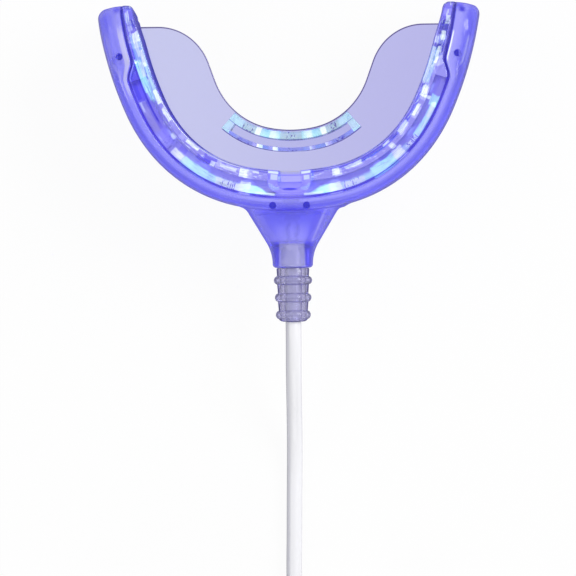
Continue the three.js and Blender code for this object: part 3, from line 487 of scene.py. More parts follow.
def stem_width(y):
    """The half width of the stem at a place on its axis, found by halving."""
    near, far = 0.0, SIDE_LENGTH
    for _ in range(40):
        middle = (near + far) / 2
        near, far = (middle, far) if stem_side(middle)[1] > y else (near, middle)
    return stem_side(near)[0]


def stem_height(half_width):
    return min(STEM_HIGHEST, STEM_RADIUS + (half_width - STEM_RADIUS) * STEM_HEIGHT_SHARE)


BEVEL_START = stem_side(SIDE_LENGTH)[1]
STEM_END = BEVEL_START - STEM_BEVEL
POCKET_START = STEM_END + COLLAR_LENGTH
POCKET_END = POCKET_START + HEAD_THICKNESS + 2 * GAP
HEAD_BACK = POCKET_END - GAP
print("stem:", round(root_y - STEM_END, 1), "mm long")

# %% Solids of the stem
STEM_SIDES, SIDE_STEPS, HOLLOW_STEPS = 56, 34, 8
ROOT_SINK, ROOT_SPREAD = 0.9, 0.45  # how deep and how wide the stem's root sits in the rim
POCKET_OVERLAP = 0.25  # how far the head's pocket runs into the hollow above it


def ovals(name, places, upper=False):
    """A skin through ovals across the stem: (y, half width, half height) each."""
    half_turn = [math.pi * i / (STEM_SIDES // 2) for i in range(STEM_SIDES // 2 + 1)]
    rings = []
    for y, wide, high in places:
        if upper:
            rings.append([at(wide * math.cos(a), y, max(HAIR, high * math.sin(a))) for a in half_turn])
        else:
            rings.append([at(wide * math.cos(a), y, high * math.sin(a)) for a in circle(STEM_SIDES)])
    return skin(name, rings)


def stem_places():
    places = [(root_y + ROOT_SINK, root_x + ROOT_SPREAD)]
    places += [stem_side(SIDE_LENGTH * i / SIDE_STEPS)[::-1] for i in range(SIDE_STEPS)]
    for a in quarter(5):
        places.append((BEVEL_START - STEM_BEVEL * math.sin(a), STEM_RADIUS - STEM_BEVEL * (1 - math.cos(a))))
    return [(y, wide, stem_height(wide)) for y, wide in places]


def straight_bore(name, radius, start, end):
    return ovals(name, [(start, radius, radius), (end, radius, radius)])


def stem_hollow(top):
    room = []
    for y in (top + (POCKET_END - top) * i / HOLLOW_STEPS for i in range(HOLLOW_STEPS + 1)):
        wide = stem_width(y)
        room.append((y, wide - STEM_WALL, stem_height(wide) - STEM_WALL))
    hollow = ovals("hollow", room)
    pocket = straight_bore("pocket", HEAD + GAP, POCKET_END + POCKET_OVERLAP, POCKET_START)
    hollow = combine(hollow, pocket, "UNION")
    return combine(hollow, straight_bore("bore", NECK + GAP, POCKET_END, STEM_END - OVERCUT), "UNION")


def block(name, low, high):
    """A plain cutter between two corners on the arch's own axes."""
    bm = bmesh.new()
    bmesh.ops.create_cube(bm, size=1.0)
    for vertex in bm.verts:
        vertex.co = at(*(low[i] if vertex.co[i] < 0 else high[i] for i in range(3)))
    return mesh_object(name, bm)


def post(name, x, y, radius, low, high):
    """An upright round pin or its socket's cutter."""
    bm = bmesh.new()
    bmesh.ops.create_cone(
        bm, cap_ends=True, segments=32, radius1=radius * MM, radius2=radius * MM, depth=(high - low) * MM,
        matrix=Matrix.Translation(at(x, y, (high + low) / 2)),
    )
    return mesh_object(name, bm)


print("ovals along the stem:", len(stem_places()))

# %% Where the pins stand
PIN, PIN_HEIGHT = 0.62, 2.0
MARK, MARK_DEPTH = 0.68, 1.4  # the round recess in the rim over each pin
FRONT_PIN = (3.2, 0.45 * RIM_FRONT)
ARM_PIN_REACH, ARM_PIN_INSET = 9.6, 0.58 * RIM_ARM
pin_places = []
for side in (-1, 1):
    pin_places.append((side * FRONT_PIN[0], FRONT_PIN[1]))
    arm = wall_point(side * (PACKED_ARCH - ARM_PIN_REACH), ARM_PIN_INSET, 0) / MM
    pin_places.append((arm.x, arm.y + BACKWARDS))
print("pins at", [(round(x, 1), round(y, 1)) for x, y in pin_places])

# %% [markdown]
# A mould's faces lean a little, so that the piece comes out. Seen from straight above, the rim's and the
# wall's lower halves lean in towards the bottom and show as the fine lines beside their edges. The
# outlines could carry the lean, but the holes would lean with them, so the finished piece's points are
# moved instead.

# %% Draft of the lower faces
RIM_DRAFT, WALL_DRAFT = 0.75, -0.95  # how far the faces lean in at the bottom
OUTER_BAND, INNER_BAND = (-0.1, 1.3), (CHAMBER_INSET + 0.05, WALL + 0.1)  # the insets that move
DRAFT_STEP = 0.25


def drafted(piece, slope, near, far, ease=0.001):
    """Moves the points of a band of insets sideways, the further below the middle the more."""
    count = round(ARCH / DRAFT_STEP)
    reach = [DRAFT_STEP * i for i in range(-count, count + 1)]
    line = np.array([(wall_point(d, 0, 0) / MM)[:2] for d in reach])
    aside = np.array([(wall_point(d, 1, 0) / MM)[:2] for d in reach]) - line
    for vertex in piece.data.vertices:
        x, y, z = vertex.co / MM
        deep = (HALF_HEIGHT - z) / HALF_HEIGHT
        if deep <= 0:
            continue
        nearest = ((line - (x, y)) ** 2).sum(axis=1).argmin()
        inset = ((x, y) - line[nearest]) @ aside[nearest]
        if near < inset < far:
            clear_of_stem = smoothly(abs(reach[nearest]), FLARE_START - 1, FLARE_START + 2)
            moved = aside[nearest] * slope * deep * clear_of_stem * smoothly(inset, near, near + ease)
            vertex.co += Vector((*moved, 0)) * MM
    piece.data.update()
    print(piece.name, "leans in by", abs(slope), "mm at the bottom")


# %% Join, hollow and mirror the shells
HOLLOW_TOP = FRONT_PIN[1] - PIN - 2 * GAP
PASSAGE_HALF, PASSAGE_RISE = 1.8, 1.95

upper = combine(upper_rim, ovals("upper_stem", stem_places(), upper=True), "UNION")
passage = block(
    "passage",
    (-PASSAGE_HALF, HOLLOW_TOP - OVERCUT, -PASSAGE_RISE), (PASSAGE_HALF, RIM_FRONT + OVERCUT, PASSAGE_RISE),
)
upper = combine(upper, combine(stem_hollow(HOLLOW_TOP), passage, "UNION"), "DIFFERENCE")
for x, y in pin_places:
    recess = post("mark", x, y, MARK, HALF_HEIGHT - MARK_DEPTH, HALF_HEIGHT + OVERCUT)
    upper = combine(upper, recess, "DIFFERENCE")
upper.name = "rim_upper"
lower = mirrored_down(upper, "rim_lower")
for x, y in pin_places:
    upper = combine(upper, post("socket", x, y, PIN + GAP, -OVERCUT, PIN_HEIGHT + GAP), "DIFFERENCE")
    lower = combine(lower, post("pin", x, y, PIN, -OVERCUT, PIN_HEIGHT), "UNION")
drafted(lower, RIM_DRAFT, *OUTER_BAND)
for piece, node in ((upper, "upper_shell"), (lower, "lower_shell")):
    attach(piece, "root")
    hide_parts(node)
    print(piece.name, len(piece.data.polygons), "faces")

# %% [markdown]
# ## The light guide
#
# Behind the rim stands a clear wall. At the sides it is hollow for the light strip, and the arms are
# solid. A groove round its inner face holds the bite plate, and a scoop in the middle, above and
# below, leaves room for the frenum of the lip. The edges of its outline are rounded, because a clear
# block shows its edges as bright and dark lines more than its faces.

# %% Light guide
EDGE_ROUND = 0.45
CHAMBER_HALF = 7.3
GROOVE_HALF, GROOVE_DEPTH, GROOVE_END = 1.3, 0.8, 2.8
SEAT, SEAT_HALF, SEAT_SLOPE = 0.27, 12.3, 0.4  # a low rib that lies against the shells
SEAT_LAND = 0.2  # what it keeps from the rounded edges


def guide_outline(distance):
    _, inner, half = limits(distance)
    outer = rim_inset(distance) + GAP
    r = min(EDGE_ROUND, (inner - outer) / 3)
    reach = min(SEAT_HALF, half - r - SEAT_LAND)
    flat = reach - SEAT_SLOPE
    outline = [(outer, reach), (outer - SEAT, flat), (outer - SEAT, -flat), (outer, -reach)]
    left, right, low, high = outer + r, inner - r, r - half, half - r
    for centre, start in (((left, low), 180), ((right, low), 270), ((right, high), 0), ((left, high), 90)):
        outline += corner(centre, r, start, start + 90)
    return outline


def band(name, reach, near, far, half):
    """A cutter between two insets, as high above the middle as below it."""
    return sweep(name, lambda d: [(near(d), -half), (far, -half), (far, half), (near(d), half)], reach)


def frenum_outline(half_width, close, round_by):
    right = [(half_width, WALL + OVERCUT)]
    for a in quarter(8):
        right.append((half_width - round_by * (1 - math.cos(a)), close + round_by * (1 - math.sin(a))))
    return right + [(-x, y) for x, y in reversed(right)]


# half width, nearest inset and rounding of the scoop, from its floor up
SCOOP_FLOOR, SCOOP_MOUTH = (2.25, 4.4, 0.8), (4.05, 3.3, 2.4)
SCOOP_HEIGHT = 9.8
SCOOP_LEVELS = {SCOOP_HEIGHT: SCOOP_FLOOR, HALF_HEIGHT: SCOOP_MOUTH, HALF_HEIGHT + OVERCUT: SCOOP_MOUTH}

guide = sweep("light_wall", guide_outline)
chamber = band("chamber", RIM_STEP, lambda d: rim_inset(d) - OVERCUT, CHAMBER_INSET, CHAMBER_HALF)
guide = combine(guide, chamber, "DIFFERENCE")
groove_reach = PACKED_ARCH - GROOVE_END
groove = band("groove", groove_reach, lambda d: WALL - GROOVE_DEPTH, WALL + OVERCUT, GROOVE_HALF)
guide = combine(guide, groove, "DIFFERENCE")
scoop = skin("frenum", [[at(x, y, z) for x, y in frenum_outline(*size)] for z, size in SCOOP_LEVELS.items()])
guide = combine(guide, mirrored_down(scoop, "lower_frenum"), "DIFFERENCE")
guide = combine(guide, scoop, "DIFFERENCE")
drafted(guide, WALL_DRAFT, *INNER_BAND, ease=1.0)
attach(guide, "root")
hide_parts("light_guide")
print("light wall:", len(guide.data.polygons), "faces")

# %% [markdown]
# ## The bite plate
#
# The soft plate ends in two lobes that the back teeth bite on, and carries a low ridge above and below
# behind the front teeth. Its outline in plan is drawn from arcs and rounded over at its edge. The
# ridges are outlines carried along the same inner edge, and they slope down at their ends.

# %% The plate's inner edge
EDGE_RUNS = [
    (21.5, 21.5 * math.radians(12)), (13.7, 13.7 * math.radians(57.5)), (math.inf, 3.5),
    (-10.3, 10.3 * math.radians(69.5)),
]
EDGE = sum(length for _, length in EDGE_RUNS)
EDGE_FRONT = WALL + 8.09
LOBE_LAND = 3.42  # from the lobe's round to the plate's far corner
PLATE_REACH, PLATE_INSET = PACKED_ARCH - 3.8, WALL - GROOVE_DEPTH + GAP
PLATE_HALF, PLATE_ROUND = 1.0, 0.6
far_corner = wall_point(PLATE_REACH, PLATE_INSET, 0) / MM
drawn_x, drawn_y, _ = follow(EDGE_RUNS, EDGE)
STRETCH_X = (far_corner.x - LOBE_LAND) / drawn_x
STRETCH_Y = (far_corner.y + BACKWARDS - EDGE_FRONT) / drawn_y


def edge_point(distance, width=0.0):
    side = -1 if distance < 0 else 1
    x, y, heading = follow(EDGE_RUNS, abs(distance))
    along = math.atan2(STRETCH_Y * math.sin(heading), STRETCH_X * math.cos(heading))
    return (
        side * (x * STRETCH_X + width * math.sin(along)),
        EDGE_FRONT + y * STRETCH_Y - width * math.cos(along) - BACKWARDS,
    )


print("inner edge:", round(EDGE, 1), "mm a side")

# %% Bite plate
EDGE_COUNT, PLATE_STEP, PLATE_LAND = 70, 1.2, 0.4


def bite_plate():
    lobes = [edge_point(d) for d in both_ways([EDGE * i / EDGE_COUNT for i in range(EDGE_COUNT + 1)])]
    places = reversed(stations(PLATE_REACH, PLATE_STEP, end=PACKED_ARCH))
    wall = [(wall_point(d, PLATE_INSET, 0) / MM)[:2] for d in places]
    bm = bmesh.new()
    outline = [bm.verts.new(Vector((x, y, HALF_HEIGHT - PLATE_HALF)) * MM) for x, y in lobes + wall]
    raised = bmesh.ops.extrude_face_region(bm, geom=[bm.faces.new(outline)])["geom"]
    raised = [v for v in raised if isinstance(v, bmesh.types.BMVert)]
    bmesh.ops.translate(bm, verts=raised, vec=(0, 0, 2 * PLATE_HALF * MM))
    bmesh.ops.recalc_face_normals(bm, faces=bm.faces)
    rims = [e for e in bm.edges if abs(e.verts[0].co.z - e.verts[1].co.z) < 1e-7]
    bmesh.ops.bevel(
        bm, geom=rims, offset=PLATE_ROUND * MM, segments=5, profile=0.5, affect="EDGES", clamp_overlap=True
    )
    flat = [f for f in bm.faces if abs(f.normal.z) > 0.999 and len(f.verts) > 50]
    bmesh.ops.inset_region(bm, faces=flat, thickness=PLATE_LAND * MM)
    print("flat faces of the plate:", len(flat))
    return mesh_object("bite_plate", bm)


# %% Ridge behind the front teeth
RIDGE_REACH, RIDGE_END, RIDGE_HEIGHT = 11.3, 1.3, 2.6
RIDGE_FOOT, RIDGE_SLOPE, RIDGE_TOP, RIDGE_FACE = 0.2, 1.98, 3.49, 4.24  # widths from the inner edge
RIDGE_SINK, RIDGE_LEFT = 0.2, 0.06  # below the plate's face, and what is left of the height at the ends
RIDGE_STEPS, END_STEPS = 28, 8


def ridge(name):
    whole = RIDGE_REACH - RIDGE_END
    half = [(whole * i / RIDGE_STEPS, 1.0) for i in range(RIDGE_STEPS + 1)]
    for t in (i / END_STEPS for i in range(1, END_STEPS + 1)):
        half.append((RIDGE_REACH - RIDGE_END * (1 - t), 1 - t * (1 - RIDGE_LEFT)))
    rings = []
    for distance, grown in [(-d, g) for d, g in reversed(half[1:])] + half:
        top, low = PLATE_HALF + RIDGE_HEIGHT * grown, PLATE_HALF - RIDGE_SINK
        face = RIDGE_FACE - (RIDGE_FACE - RIDGE_TOP) * grown
        slope = RIDGE_FOOT + (RIDGE_SLOPE - RIDGE_FOOT) * grown
        outline = [(RIDGE_FOOT, 0.0), (RIDGE_FOOT, low), (slope, top)]
        outline += [(face, top), (RIDGE_FACE, low), (RIDGE_FACE, 0.0)]
        rings.append([Vector((*edge_point(distance, width), z + HALF_HEIGHT)) * MM for width, z in outline])
    return skin(name, rings)


plate = bite_plate()
upper_ridge = ridge("upper_ridge")
plate = combine(plate, mirrored_down(upper_ridge, "lower_ridge"), "UNION")
plate = combine(plate, upper_ridge, "UNION")
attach(plate, "root")
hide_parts("mouth_tray")
print("bite plate:", len(plate.data.polygons), "faces")

# %% [markdown]
# ## The light strip
#
# The strip carries sixteen lights in two rows, four resistors and, in front, the connector of the two
# wires. The packed solids of the lights, the resistors, the board and the wires are fine enough. What
# they lack is the lens in each light's window, and that is added here.

# %% Lenses of the lights
BOARD_THICKNESS, SOLDER, BOARD_REACH = 0.4, 0.15, RIM_STEP - GAP
LIGHT_INSET = GAP + BOARD_THICKNESS + SOLDER
LIGHT_DEPTH, LIGHT_ROW = 1.6, 4.2
LIGHT_SHARES = [0.21, 0.455, 0.7, 0.945]
LENS_RADIUS, LENS_SINK, LENS_FOOT, LENS_RISE, LENS_SIDES = 1.1, 0.28, 0.3, 0.34, 20

dome = [(LENS_RADIUS, 0.0), (LENS_RADIUS, LENS_FOOT)]
dome += [(LENS_RADIUS * math.cos(a), LENS_FOOT + LENS_RISE * math.sin(a)) for a in quarter(5)[1:-1]]
up = Vector((0, 0, 1))
bm = bmesh.new()
for row in (1, -1):
    for share in sorted([-s for s in LIGHT_SHARES] + LIGHT_SHARES):
        distance = share * BOARD_REACH
        inset = rim_inset(distance) + LIGHT_INSET + LIGHT_DEPTH - LENS_SINK
        middle = wall_point(distance, inset, row * LIGHT_ROW)
        outwards = (wall_point(distance, inset + 1, row * LIGHT_ROW) - middle).normalized()
        across = outwards.cross(up)
        add_skin(bm, [
            [
                middle + outwards * (rise * MM) + (across * math.cos(t) + up * math.sin(t)) * (radius * MM)
                for t in circle(LENS_SIDES)
            ]
            for radius, rise in dome
        ])
lenses = mesh_object("light_lenses", bm, 50)
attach(lenses, "root")
print("faces of the lenses:", len(lenses.data.polygons))

# %% [markdown]
# ## The strain relief and the cable
#
# The strain relief is a soft moulded sleeve, turned about the cable, with three rounded rings. The
# lead is one smooth cable from the sleeve to the plug. What the photograph doesn't show of it lies in a
# round coil beyond the edge of the view.

# %% Strain relief
SHOULDER = STEM_END - 0.04  # drawn right up to the stem; the packed sleeve keeps its gap
BOOT_LENGTH, BOOT_START, BOOT_TIP, BORE = 10.01, 3.14, 2.74, 1.7
RINGS, RING_WIDTH, RING_RISE, RING_ROUND = (2.36, 5.66, 8.96), 1.56, 0.2, 1.15
BREAK = 0.12  # how much the sleeve's sharp corners are broken
MOUTH = 0.26  # the rounded mouth reaches almost to where the cable begins
SHOULDER_ROUND = ((0.25, 0.0), (0.07, 0.07), (0.0, 0.25))  # inwards and forwards
MOUTH_ROUND = ((0.0, -0.2), (0.15, 0.0), (0.45, 0.7 * MOUTH))
BOOT_SIDES, RING_STEPS = 64, 12
boot_end = SHOULDER - BOOT_LENGTH
head_front = POCKET_START + GAP


def boot_radius(place):
    return BOOT_START + (BOOT_TIP - BOOT_START) * place / BOOT_LENGTH


profile = [(BORE, HEAD_BACK), (HEAD - BREAK, HEAD_BACK), (HEAD, HEAD_BACK - BREAK)]
profile += [(HEAD, head_front + BREAK), (HEAD - BREAK, head_front), (NECK, head_front), (NECK, SHOULDER)]
for inwards, forwards in SHOULDER_ROUND:
    profile.append((BOOT_START - inwards, SHOULDER - forwards))
for place in RINGS:
    for swell in (math.pi * i / RING_STEPS for i in range(RING_STEPS + 1)):
        radius = boot_radius(place) * (1 + RING_RISE * math.sin(swell) ** RING_ROUND)
        profile.append((radius, SHOULDER - place + RING_WIDTH / 2 * math.cos(swell)))
for inwards, forwards in MOUTH_ROUND:
    profile.append((BOOT_TIP - inwards, boot_end - forwards))
profile += [(BORE + BREAK, boot_end - MOUTH), (BORE, boot_end - MOUTH)]
rings = [[at(r * math.cos(t), y, r * math.sin(t)) for t in circle(BOOT_SIDES)] for r, y in profile]
boot = skin("soft_strain_relief", rings, closed=True)
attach(boot, "root")
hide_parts("strain_relief")
print("sleeve:", len(boot.data.polygons), "faces")

# %% The lead's route
CABLE = 1.5
EXIT = at(0.0, boot_end, 0.0)
ROUTE = [
    (0, -0.3, 0), (0, -4, -0.15), (-0.1, -9, -1.6), (-0.2, -14, -4.5), (-0.3, -19, -7.8), (-0.4, -24, -10.3),
    (-0.5, -29, -11.4), (-0.6, -35, -11.4), (-0.7, -42, -11.4), (-0.8, -48, -11.35), (-0.8, -54, -11.1),
    (-0.8, -60, -10.6), (-0.8, -65, -10.3), (-0.8, -70, -10.25),
]
TAIL = [
    (-0.8, -76.6, 0.25), (-0.7, -81, -0.3), (-0.2, -86, -1.8), (0.9, -92, -4.1), (4, -98, -6.5),
    (9.4, -102.4, -8.2), (15.6, -102.6, -9), (20.8, -99, -9.2), (23.5, -93.6, -9.2), (24.2, -88.5, -9.2),
]
COIL_START, COIL_RADIUS, COIL_PITCH, COIL_TURNS, LAYER_TURNS = (-0.8, -73.3, -10.25), 20.0, 3.5, 8, 2
CLIMB = 0.25  # turns that a climb takes on either side of a layer's end
COIL_STEPS, SPAN_STEPS = 36, 6


def coil_points():
    """Loops that are drawn in and let out by turns, and climb a layer where they turn back."""
    points = []
    for turns in (i / COIL_STEPS for i in range(COIL_TURNS * COIL_STEPS + 1)):
        phase = (turns / LAYER_TURNS) % 2
        radius = COIL_RADIUS - (phase if phase < 1 else 2 - phase) * LAYER_TURNS * COIL_PITCH
        ends = range(LAYER_TURNS, COIL_TURNS, LAYER_TURNS)
        climbed = sum(smoothly(turns - end, -CLIMB, CLIMB) for end in ends)
        angle = -2 * math.pi * turns
        points.append((
            COIL_START[0] - COIL_RADIUS + radius * math.cos(angle),
            COIL_START[1] + radius * math.sin(angle),
            COIL_START[2] + climbed * COIL_PITCH,
        ))
    return points


def through(points):
    """A centripetal curve through a route's points, as the packed cable has it."""
    knots = [Vector(p) for p in points]
    knots = [2 * knots[0] - knots[1]] + knots + [2 * knots[-1] - knots[-2]]
    line = []
    for a, b, c, d in zip(knots, knots[1:], knots[2:], knots[3:]):
        t1 = math.sqrt((b - a).length)
        t2 = t1 + math.sqrt((c - b).length)
        t3 = t2 + math.sqrt((d - c).length)
        for i in range(SPAN_STEPS):
            t = t1 + (t2 - t1) * i / SPAN_STEPS
            p = a.lerp(b, t / t1)
            q = b.lerp(c, (t - t1) / (t2 - t1))
            r = c.lerp(d, (t - t2) / (t3 - t2))
            line.append(p.lerp(q, t / t2).lerp(q.lerp(r, (t - t1) / (t3 - t1)), (t - t1) / (t2 - t1)))
    return line + [knots[-2]]


lead_line = [EXIT + Vector(p) * MM for p in through(ROUTE) + coil_points() + through(TAIL)]

# %% The lead
def tube(name, line, radius, sides=28):
    """A round tube along a line, whose rings turn with it and never twist."""
    rings = []
    across = Vector((1, 0, 0))
    for before, here, after in zip(line[:1] + line, line, line[1:] + line[-1:]):
        along = (after - before).normalized()
        across = (across - along * across.dot(along)).normalized()
        up = along.cross(across)
        rings.append([here + (across * math.cos(t) + up * math.sin(t)) * radius for t in circle(sides)])
    return skin(name, rings)


lead = tube("lead", lead_line, CABLE * MM)
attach(lead, "root")
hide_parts("cable", "cable_coil", "cable_tail")
print("points along the lead:", len(lead_line))

# %% [markdown]
# ## Places on the surface
#
# Much of the look depends on where a point lies: how far along the wall, how deep in it, or how far from
# the plate's inner edge. Each fine piece keeps these two distances at its points, in millimetres, and
# the materials read them. The shells also keep which of their points lie in a pin's recess, and how far
# to the side of the stem they are.

# %% Marking places
MARK_STEP, MARK_BATCH = 0.25, 4000


def keep(piece, name, values):
    piece.data.attributes.new(name, "FLOAT", "POINT").data.foreach_set("value", values)


def mark(piece, place_at, reach):
    """Keeps each point's distance along a curve and its distance beside it."""
    along = np.linspace(-reach, reach, 2 * round(reach / MARK_STEP) + 1)
    line = np.array([place_at(d, 0.0) for d in along])
    aside = np.array([place_at(d, 1.0) for d in along]) - line
    ahead = np.stack([aside[:, 1], -aside[:, 0]], axis=1)
    points = np.empty(len(piece.data.vertices) * 3, dtype=np.float32)
    piece.data.vertices.foreach_get("co", points)
    points = points.reshape(-1, 3)[:, :2] / MM
    values = np.empty((2, len(points)), dtype=np.float32)
    for first in range(0, len(points), MARK_BATCH):
        batch = slice(first, first + MARK_BATCH)
        nearest = ((points[batch, None, :] - line[None, :, :]) ** 2).sum(axis=2).argmin(axis=1)
        offset = points[batch] - line[nearest]
        values[0, batch] = along[nearest] + (offset * ahead[nearest]).sum(axis=1)
        values[1, batch] = (offset * aside[nearest]).sum(axis=1)
    for name, row in zip(("along", "inset"), values):
        keep(piece, name, row)
    return values


def on_arch(distance, inset):
    return (wall_point(distance, inset, 0) / MM)[:2]


for piece in (upper, lower, guide):
    along, inset = mark(piece, on_arch, ARCH)
    rim = np.array([rim_inset(min(abs(d), ARCH)) for d in along], dtype=np.float32)
    keep(piece, "share", inset / rim if piece is not guide else (inset - rim - GAP) / (WALL - rim - GAP))
    print(piece.name, "inset", inset.min().round(2), "to", inset.max().round(2))
mark(plate, edge_point, EDGE)

# %% Recesses over the pins and the sides of the stem
def in_recess(x, y, z):
    """0 outside a pin's recess; on its floor from 0.5 on the outer side to 1.5 on the inner."""
    near, middle = min((math.hypot(x - px, y - py), px) for px, py in pin_places)
    if near < MARK + 0.02 and abs(abs(z) - HALF_HEIGHT + MARK_DEPTH) < 0.05:
        return 1.0 - 0.5 * (x - middle) / MARK * (1 if middle > 0 else -1)
    return 0.0


for piece in (upper, lower):
    points = [v.co / MM + Vector((0, BACKWARDS, -HALF_HEIGHT)) for v in piece.data.vertices]
    keep(piece, "mark", [in_recess(*point) for point in points])
    keep(piece, "aside", [x / stem_width(y) if STEM_END - 1 < y < root_y else 0.0 for x, y, _ in points])
print("recesses:", len(pin_places))

# %% [markdown]
# ## Materials
#
# A place on a piece is two distances and a height, and a mask is made of them. Noise over the same two
# distances, each stretched by its own factor, gives streaks that run along the wall or across it. With
# the object's own coordinates they would cut straight through the curve instead.

# %% Places, noise and mixed colours
BLACK, WHITE = (0.0, 0.0, 0.0), (1.0, 1.0, 1.0)


def placed(tree, *names):
    """What the marked places say, one mask for each name."""
    return [Mask(add(tree, "ShaderNodeAttribute", attribute_name=name).outputs["Fac"]) for name in names]


def axes(tree, kind, output):
    """The three numbers of a place or a direction."""
    apart = add(tree, "ShaderNodeSeparateXYZ", add(tree, kind).outputs[output])
    return [Mask(number) for number in apart.outputs]


def height(tree):
    """Millimetres above or below the middle."""
    return abs(axes(tree, "ShaderNodeTexCoord", "Object")[2].scaled(1 / MM, -HALF_HEIGHT))


def grazing(tree, start, end):
    """0 on faces seen straight on and 1 on those seen edge on."""
    return Mask(add(tree, "ShaderNodeLayerWeight").outputs["Facing"]).fade(start, end)


def speckle(along, inset, detail, scale=1.0):
    """Noise over the two distances."""
    place = add(along.tree, "ShaderNodeCombineXYZ", along, inset)
    node = add(along.tree, "ShaderNodeTexNoise")
    for label, value in (("Vector", place.outputs[0]), ("Scale", scale), ("Detail", detail)):
        feed(node.inputs[label], value)
    return Mask(node.outputs[0])


def tint(mask, under, over):
    node = add(mask.tree, "ShaderNodeMix", data_type="RGBA", clamp_factor=True)
    for target, value in ((node.inputs["Factor"], mask), (node.inputs[6], under), (node.inputs[7], over)):
        feed(target, value)
    return node.outputs[2]


def layered(colour, layers):
    """A colour with layers over it, each a mask with its own colour, the last one on top."""
    for mask, over in layers.values():
        colour = tint(mask, colour, over)
    print("  layers:", ", ".join(layers))
    return colour


def strongest(masks):
    return functools.reduce(operator.or_, masks)


print("marked places:", sorted({a.name for a in upper.data.attributes if a.data_type == "FLOAT"}))

# %% [markdown]
# Three effects come back again and again and live in node groups. `fine_texture` gives a mould's faint
# unevenness as a roughness and a height. `patch` is a soft-edged patch at a place on the wall, for what
# the lights do there. `soft_line` is a thin line at one distance, for edges that show darker or paler
# than the faces beside them. A group is built once and takes its own values in each material.

# %% Node groups
def new_group(name, takes, gives):
    """An empty group of numbers: its tree, what it is given and where its results go."""
    group = bpy.data.node_groups.new(name, "ShaderNodeTree")
    for label, default in takes.items():
        taken = group.interface.new_socket(name=label, in_out="INPUT", socket_type="NodeSocketFloat")
        taken.default_value = default
    for label in gives:
        group.interface.new_socket(name=label, in_out="OUTPUT", socket_type="NodeSocketFloat")
    given = [Mask(output) for output, _ in zip(add(group, "NodeGroupInput").outputs, takes)]
    return group, given, add(group, "NodeGroupOutput").inputs


def use(group, *values):
    """The first result of a group that is given these values, the first of them a mask."""
    return Mask(add(values[0].tree, "ShaderNodeGroup", *values, node_tree=group).outputs[0])


fine_texture, (scale, roughness, spread), results = new_group(
    "fine_texture", {"Scale": 900.0, "Roughness": 0.2, "Spread": 0.05}, ("Roughness", "Height")
)
grain = add(fine_texture, "ShaderNodeTexNoise")
feed(grain.inputs["Vector"], add(fine_texture, "ShaderNodeTexCoord").outputs["Object"])
feed(grain.inputs["Scale"], scale)
feed(grain.inputs["Detail"], 3.0)
grey = Mask(grain.outputs[0])
feed(results["Roughness"], (grey - 0.5).scaled(spread, roughness))
feed(results["Height"], grey)

labels = ("Along", "Inset", "Place", "Depth", "Half Length", "Half Depth", "Strength")
patch, given, results = new_group("patch", dict.fromkeys(labels, 0.0), ("Value",))
along, inset, place, depth, half_length, half_depth, strength = given
lengthwise = (abs(along - place) - half_length).fade(0.3, 0.0)
crosswise = (abs(inset - depth) - half_depth).fade(0.16, 0.0)
feed(results["Value"], lengthwise * crosswise * strength)

soft_line, (value, place, half_width), results = new_group(
    "soft_line", {"Value": 0.0, "Place": 0.0, "Half Width": 0.1}, ("Line",)
)
feed(results["Line"], abs(value - place).calc("DIVIDE", half_width).fade(1.3, 0.7))
print("groups:", [group.name for group in bpy.data.node_groups])

# %% Plastics
BUMP_DEPTH = 0.05 * MM


def principled(name, colour, scale=900.0, roughness=0.3, spread=0.08, bump=0.0, **settings):
    material, tree = new_material(name)
    shader = add(tree, "ShaderNodeBsdfPrincipled")
    for label, value in {"Base_Color": colour, **settings}.items():
        feed(shader.inputs[label.replace("_", " ")], value)
    texture = add(tree, "ShaderNodeGroup", scale, roughness, spread, node_tree=fine_texture)
    feed(shader.inputs["Roughness"], texture.outputs["Roughness"])
    if bump:
        relief = add(tree, "ShaderNodeBump", bump, BUMP_DEPTH)
        feed(relief.inputs["Height"], texture.outputs["Height"])
        feed(shader.inputs["Normal"], relief.outputs[0])
    output = add(tree, "ShaderNodeOutputMaterial", shader.outputs[0])
    return material, tree, shader, output


def clear_plastic(name, colour, body_tint, density, **settings):
    """Clear plastic whose colour deepens with how much of it the light passes through."""
    settings = {"Transmission_Weight": 1.0, "IOR": 1.49, **settings}
    material, tree, shader, output = principled(name, colour, **settings)
    body = add(tree, "ShaderNodeVolumeAbsorption", body_tint, density)
    feed(output.inputs["Volume"], body.outputs[0])
    return material, tree, shader


def duller(shader, mask, more):
    """Adds roughness where the mask says so, to what the fine texture gives."""
    roughness = shader.inputs["Roughness"]
    feed(roughness, mask.scaled(more, roughness.links[0].from_socket))


def coat(material, *names):
    for name in names:
        data = bpy.data.objects[name].data
        data.materials.clear()
        data.materials.append(material)
    print(material.name, "on", ", ".join(names))
